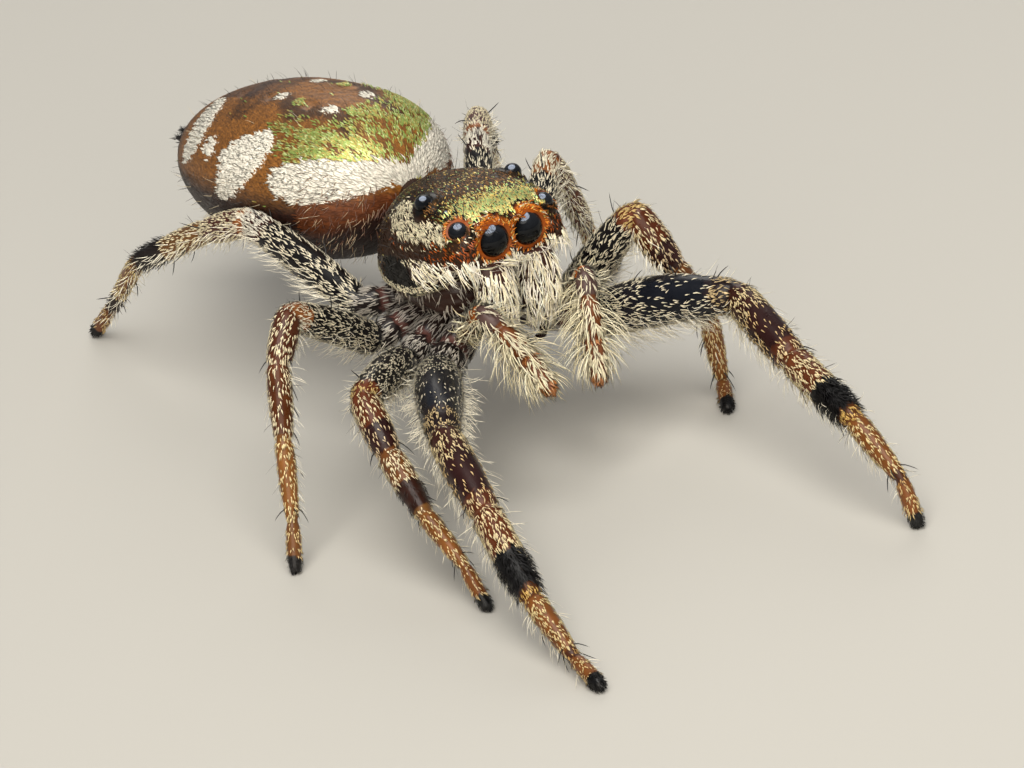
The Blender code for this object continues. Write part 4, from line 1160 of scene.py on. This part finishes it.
flankRoots = scatter(flankSurface, flankDensity, 902)
pale = evenTint("#d2c8ba", len(flankRoots["u"]))
flankLie = evenWay(carapacePlace, (0.0, -0.4, -1.0), len(pale))
flankHair = hairs(flankRoots, flankLie, 0.22, 0.018, 0.35, pale, curl=0.1, jitter=0.2, swirl=0.5)
coatPiece("flankTufts", [flankHair], "bristle")

waistRear = np.array(carapacePlace @ Vector((0, 1.30, 0.12)))
waistFront = np.array(abdomenPlace @ Vector((0, -abdomen["length"] / 2 + 0.15, 0)))
waistForm = limbForm([waistRear, (waistRear + waistFront) / 2, waistFront], (0.22, 0.20, 0.22), 1.0)
makeSkin("waistSkin", waistForm["surface"], (32, 40), plain("#2c1a12"), "leg", ["waist"])

# Six spinnerets in a bundle, the two hind ones longest
spinnerets = {"ring": 0.11, "length": 0.58, "radii": (0.10, 0.085, 0.04)}
spinneretHair = []
for k in range(6):
    turn = math.radians(60 * k + 30)
    aside = np.array([math.cos(turn), 0, math.sin(turn)]) * spinnerets["ring"]
    size = spinnerets["length"] * (1.0 if k < 3 else 0.8)
    start = np.array([0, abdomen["length"] / 2 - 0.12, -0.05]) + aside
    ends = [start, start + (0, size * 0.55, 0) + aside * 0.3, start + (0, size, 0) + aside * 0.5]
    form = limbForm([np.array(abdomenPlace @ Vector(end)) for end in ends], spinnerets["radii"], 1.0)
    makeSkin(f"spinneret{k + 1}", form["surface"], (20, 36), plain("#1d1411"), "leg",
             ["spinnerets"])
    roots = scatter(form["surface"], lambda u, v, p: np.full(len(u), 420.0), 930 + k)
    dark = evenTint("#171110", len(roots["u"]))
    spinneretHair.append(hairs(roots, form["way"](roots["v"]), 0.15, 0.014, 0.35, dark, curl=0.1,
                               jitter=0.25))
coatPiece("spinneretHair", spinneretHair, "scale")


# Jaws hang below the face, with the fangs folded under them
jaw = {"x": 0.42, "halfWidth": 0.34, "front": -2.02, "back": -1.42, "top": 0.50, "bottom": -0.85}


def jawSurface(across):
    def surface(u, v):
        k = np.clip(v, 0, 1)
        z = jaw["top"] + (jaw["bottom"] - jaw["top"]) * k
        swell = 0.80 + 0.20 * np.sin(np.pi * np.minimum(1, 0.25 + k * 0.9)) ** 0.5
        swell = swell * np.interp(k, (0, 0.75, 0.9, 1), (1, 1, 0.86, 0.62))
        close = np.sqrt(np.clip(np.minimum(k / 0.03, (1 - k) / 0.05), 0, 1))
        forward = -0.10 * np.sin(np.pi * k)
        a = 2 * np.pi * u
        c, s = np.sin(a), np.cos(a)
        x = (jaw["halfWidth"] - 0.03) * swell * close * np.sign(c) * np.abs(c) ** 0.8
        y = ((jaw["back"] - jaw["front"]) / 2 - 0.03) * swell * close * -np.sign(s) * np.abs(s) ** 0.8
        middle = (jaw["front"] + jaw["back"]) / 2 + forward
        return put(carapacePlace, np.stack([across * jaw["x"] + x, middle + y, z], axis=1))
    return surface


for side, across in (("R", -1), ("L", 1)):
    surface = jawSurface(across)
    makeSkin(f"jaw{side}Skin", surface, (64, 70), plain("#3b231d"), "leg",
             [f"chelicera_{side}"])

    def shaggy(u, v, p):
        front = np.clip(0.55 + 0.6 * np.cos(2 * np.pi * u), 0, 1)
        return 340 * front * between(v, 0.04, 0.93, 0.06) * np.clip(0.85 + 0.9 * wobble(p, 0.2, 76), 0.2, 2)

    roots = scatter(surface, shaggy, 910 + across)
    p = put(inverseCarapace, roots["root"])
    own, count = roots["draw"], len(p)
    apart = 0.10 * np.sign(p[:, 0] - across * jaw["x"])
    down = np.stack([apart, np.full(count, -0.15), np.full(count, -1.0)], axis=1)
    tints = pick(own, headTints["beard"], headTints["cream"], np.full(count, 0.5))
    sets = [hairs(roots, turned(carapacePlace, down), 0.36, 0.025, 0.28, tints, curl=0.2, jitter=0.14,
                  rings=4, swirl=0.35)]
    coatPiece(f"jaw{side}Hair", sets, "bristle")
    # root, bend and tip of the fang, from the middle of the jaw's foot
    path = [np.array(carapacePlace @ Vector((across * (jaw["x"] + x), jaw["front"] + y, jaw["bottom"] + z)))
            for x, y, z in ((0, 0.26, 0.05), (-0.02, 0.24, -0.22), (-0.16, 0.42, -0.40))]
    form = limbForm(path, (0.12, 0.09, 0.02), 1.0)
    makeSkin(f"fang{side}Claw", form["surface"], (24, 50), plain("#180a07"), "shell",
             [f"fang_{side}"])
print("jaws and underside made")


# Floor, light and camera
bm = bmesh.new()
bmesh.ops.create_grid(bm, x_segments=2, y_segments=2, size=0.6)
mesh = bpy.data.meshes.new("floor")
bm.to_mesh(mesh)
bm.free()
floor = bpy.data.objects.new("floor", mesh)
bpy.context.scene.collection.objects.link(floor)
# Painted board, matt: soft shadows and no mirror image
paint = bpy.data.materials.new("matWhiteBoard")
paint.use_nodes = True
boardShader = paint.node_tree.nodes["Principled BSDF"]
boardShader.inputs["Base Color"].default_value = (*hexColour("#bcb9b2"), 1)
boardShader.inputs["Roughness"].default_value = 0.75
mesh.materials.append(paint)

studio = {
    # name: place in mm, size in mm, watts, colour
    "topBox": ((-25, -38, 112), 110, 0.150, "#fdfaf3"),
    "frontBox": ((-70, -105, 42), 150, 0.150, "#fff5e6"),
    "rimBox": ((70, 90, 80), 90, 0.045, "#fff9f0"),
}
lamps = {}
for name, (spot, size, watts, colour) in studio.items():
    lamp = bpy.data.lights.new(name, "AREA")
    lamp.shape, lamp.size, lamp.energy = "DISK", size * mm, watts
    lamp.color = hexColour(colour)
    lampObject = bpy.data.objects.new(name, lamp)
    bpy.context.scene.collection.objects.link(lampObject)
    lampObject.location = Vector(spot) * mm
    lampObject.rotation_mode = "QUATERNION"
    lampObject.rotation_quaternion = (Vector((0, 0, 2 * mm)) - lampObject.location).to_track_quat("-Z", "Y")
    lamps[name] = lampObject

# A card above that lights the eyes alone, for their wide pale blue glint
card = bpy.data.lights.new("eyeCard", "AREA")
card.shape, card.size, card.energy, card.color = "DISK", 150 * mm, 1.5, hexColour("#dfeaff")
cardObject = bpy.data.objects.new("eyeCard", card)
bpy.context.scene.collection.objects.link(cardObject)
cardObject.location = Vector((6, 12, 104)) * mm
eyeSet = bpy.data.collections.new("eyeSet")
for lens in lenses:
    eyeSet.objects.link(lens)
cardObject.light_linking.receiver_collection = eyeSet

# The front light leaves the eyes out, which stay black below the glint
noEyes = bpy.data.collections.new("noEyes")
for lens in lenses:
    noEyes.objects.link(lens)
for member in noEyes.collection_objects:
    member.light_linking.link_state = "EXCLUDE"
lamps["frontBox"].light_linking.receiver_collection = noEyes

world = bpy.data.worlds.new("studioWorld")
world.use_nodes = True
bpy.context.scene.world = world
sky = world.node_tree.nodes["Background"]
sky.inputs["Color"].default_value = (*hexColour("#e8ecf0"), 1)
sky.inputs["Strength"].default_value = 0.28

# The photograph's view: from the spider's front right, 26 degrees up, 90 mm away, rolled 10 degrees
shot = {"azimuth": -30.0, "elevation": 26.0, "roll": -10.0, "distance": 90.0, "target": (0.03, -1.05, 1.0),
        "pixelsPerMm": 61.0, "pixelsWide": 1024}
a, e, r = (math.radians(shot[k]) for k in ("azimuth", "elevation", "roll"))
back = Vector((math.sin(a) * math.cos(e), -math.cos(a) * math.cos(e), math.sin(e)))
right = Vector((math.cos(a), math.sin(a), 0))
up = back.cross(right)
cameraRight = right * math.cos(r) + up * math.sin(r)
cameraUp = up * math.cos(r) - right * math.sin(r)
lens = bpy.data.cameras.new("camera")
lens.sensor_width = 36.0
lens.lens = 36.0 * shot["pixelsPerMm"] * shot["distance"] / shot["pixelsWide"]
lens.clip_start, lens.clip_end = 5 * mm, 2.0
camera = bpy.data.objects.new("camera", lens)
bpy.context.scene.collection.objects.link(camera)
eyePoint = toPart(np.array(Vector(shot["target"]) + back * shot["distance"]))
turn = Matrix((cameraRight, cameraUp, back)).transposed().to_4x4()
camera.matrix_world = Matrix.Translation(eyePoint) @ turn
bpy.context.scene.camera = camera
bpy.context.scene.view_settings.view_transform = "Standard"
print("floor, light and camera set")

bpy.context.view_layer.update()
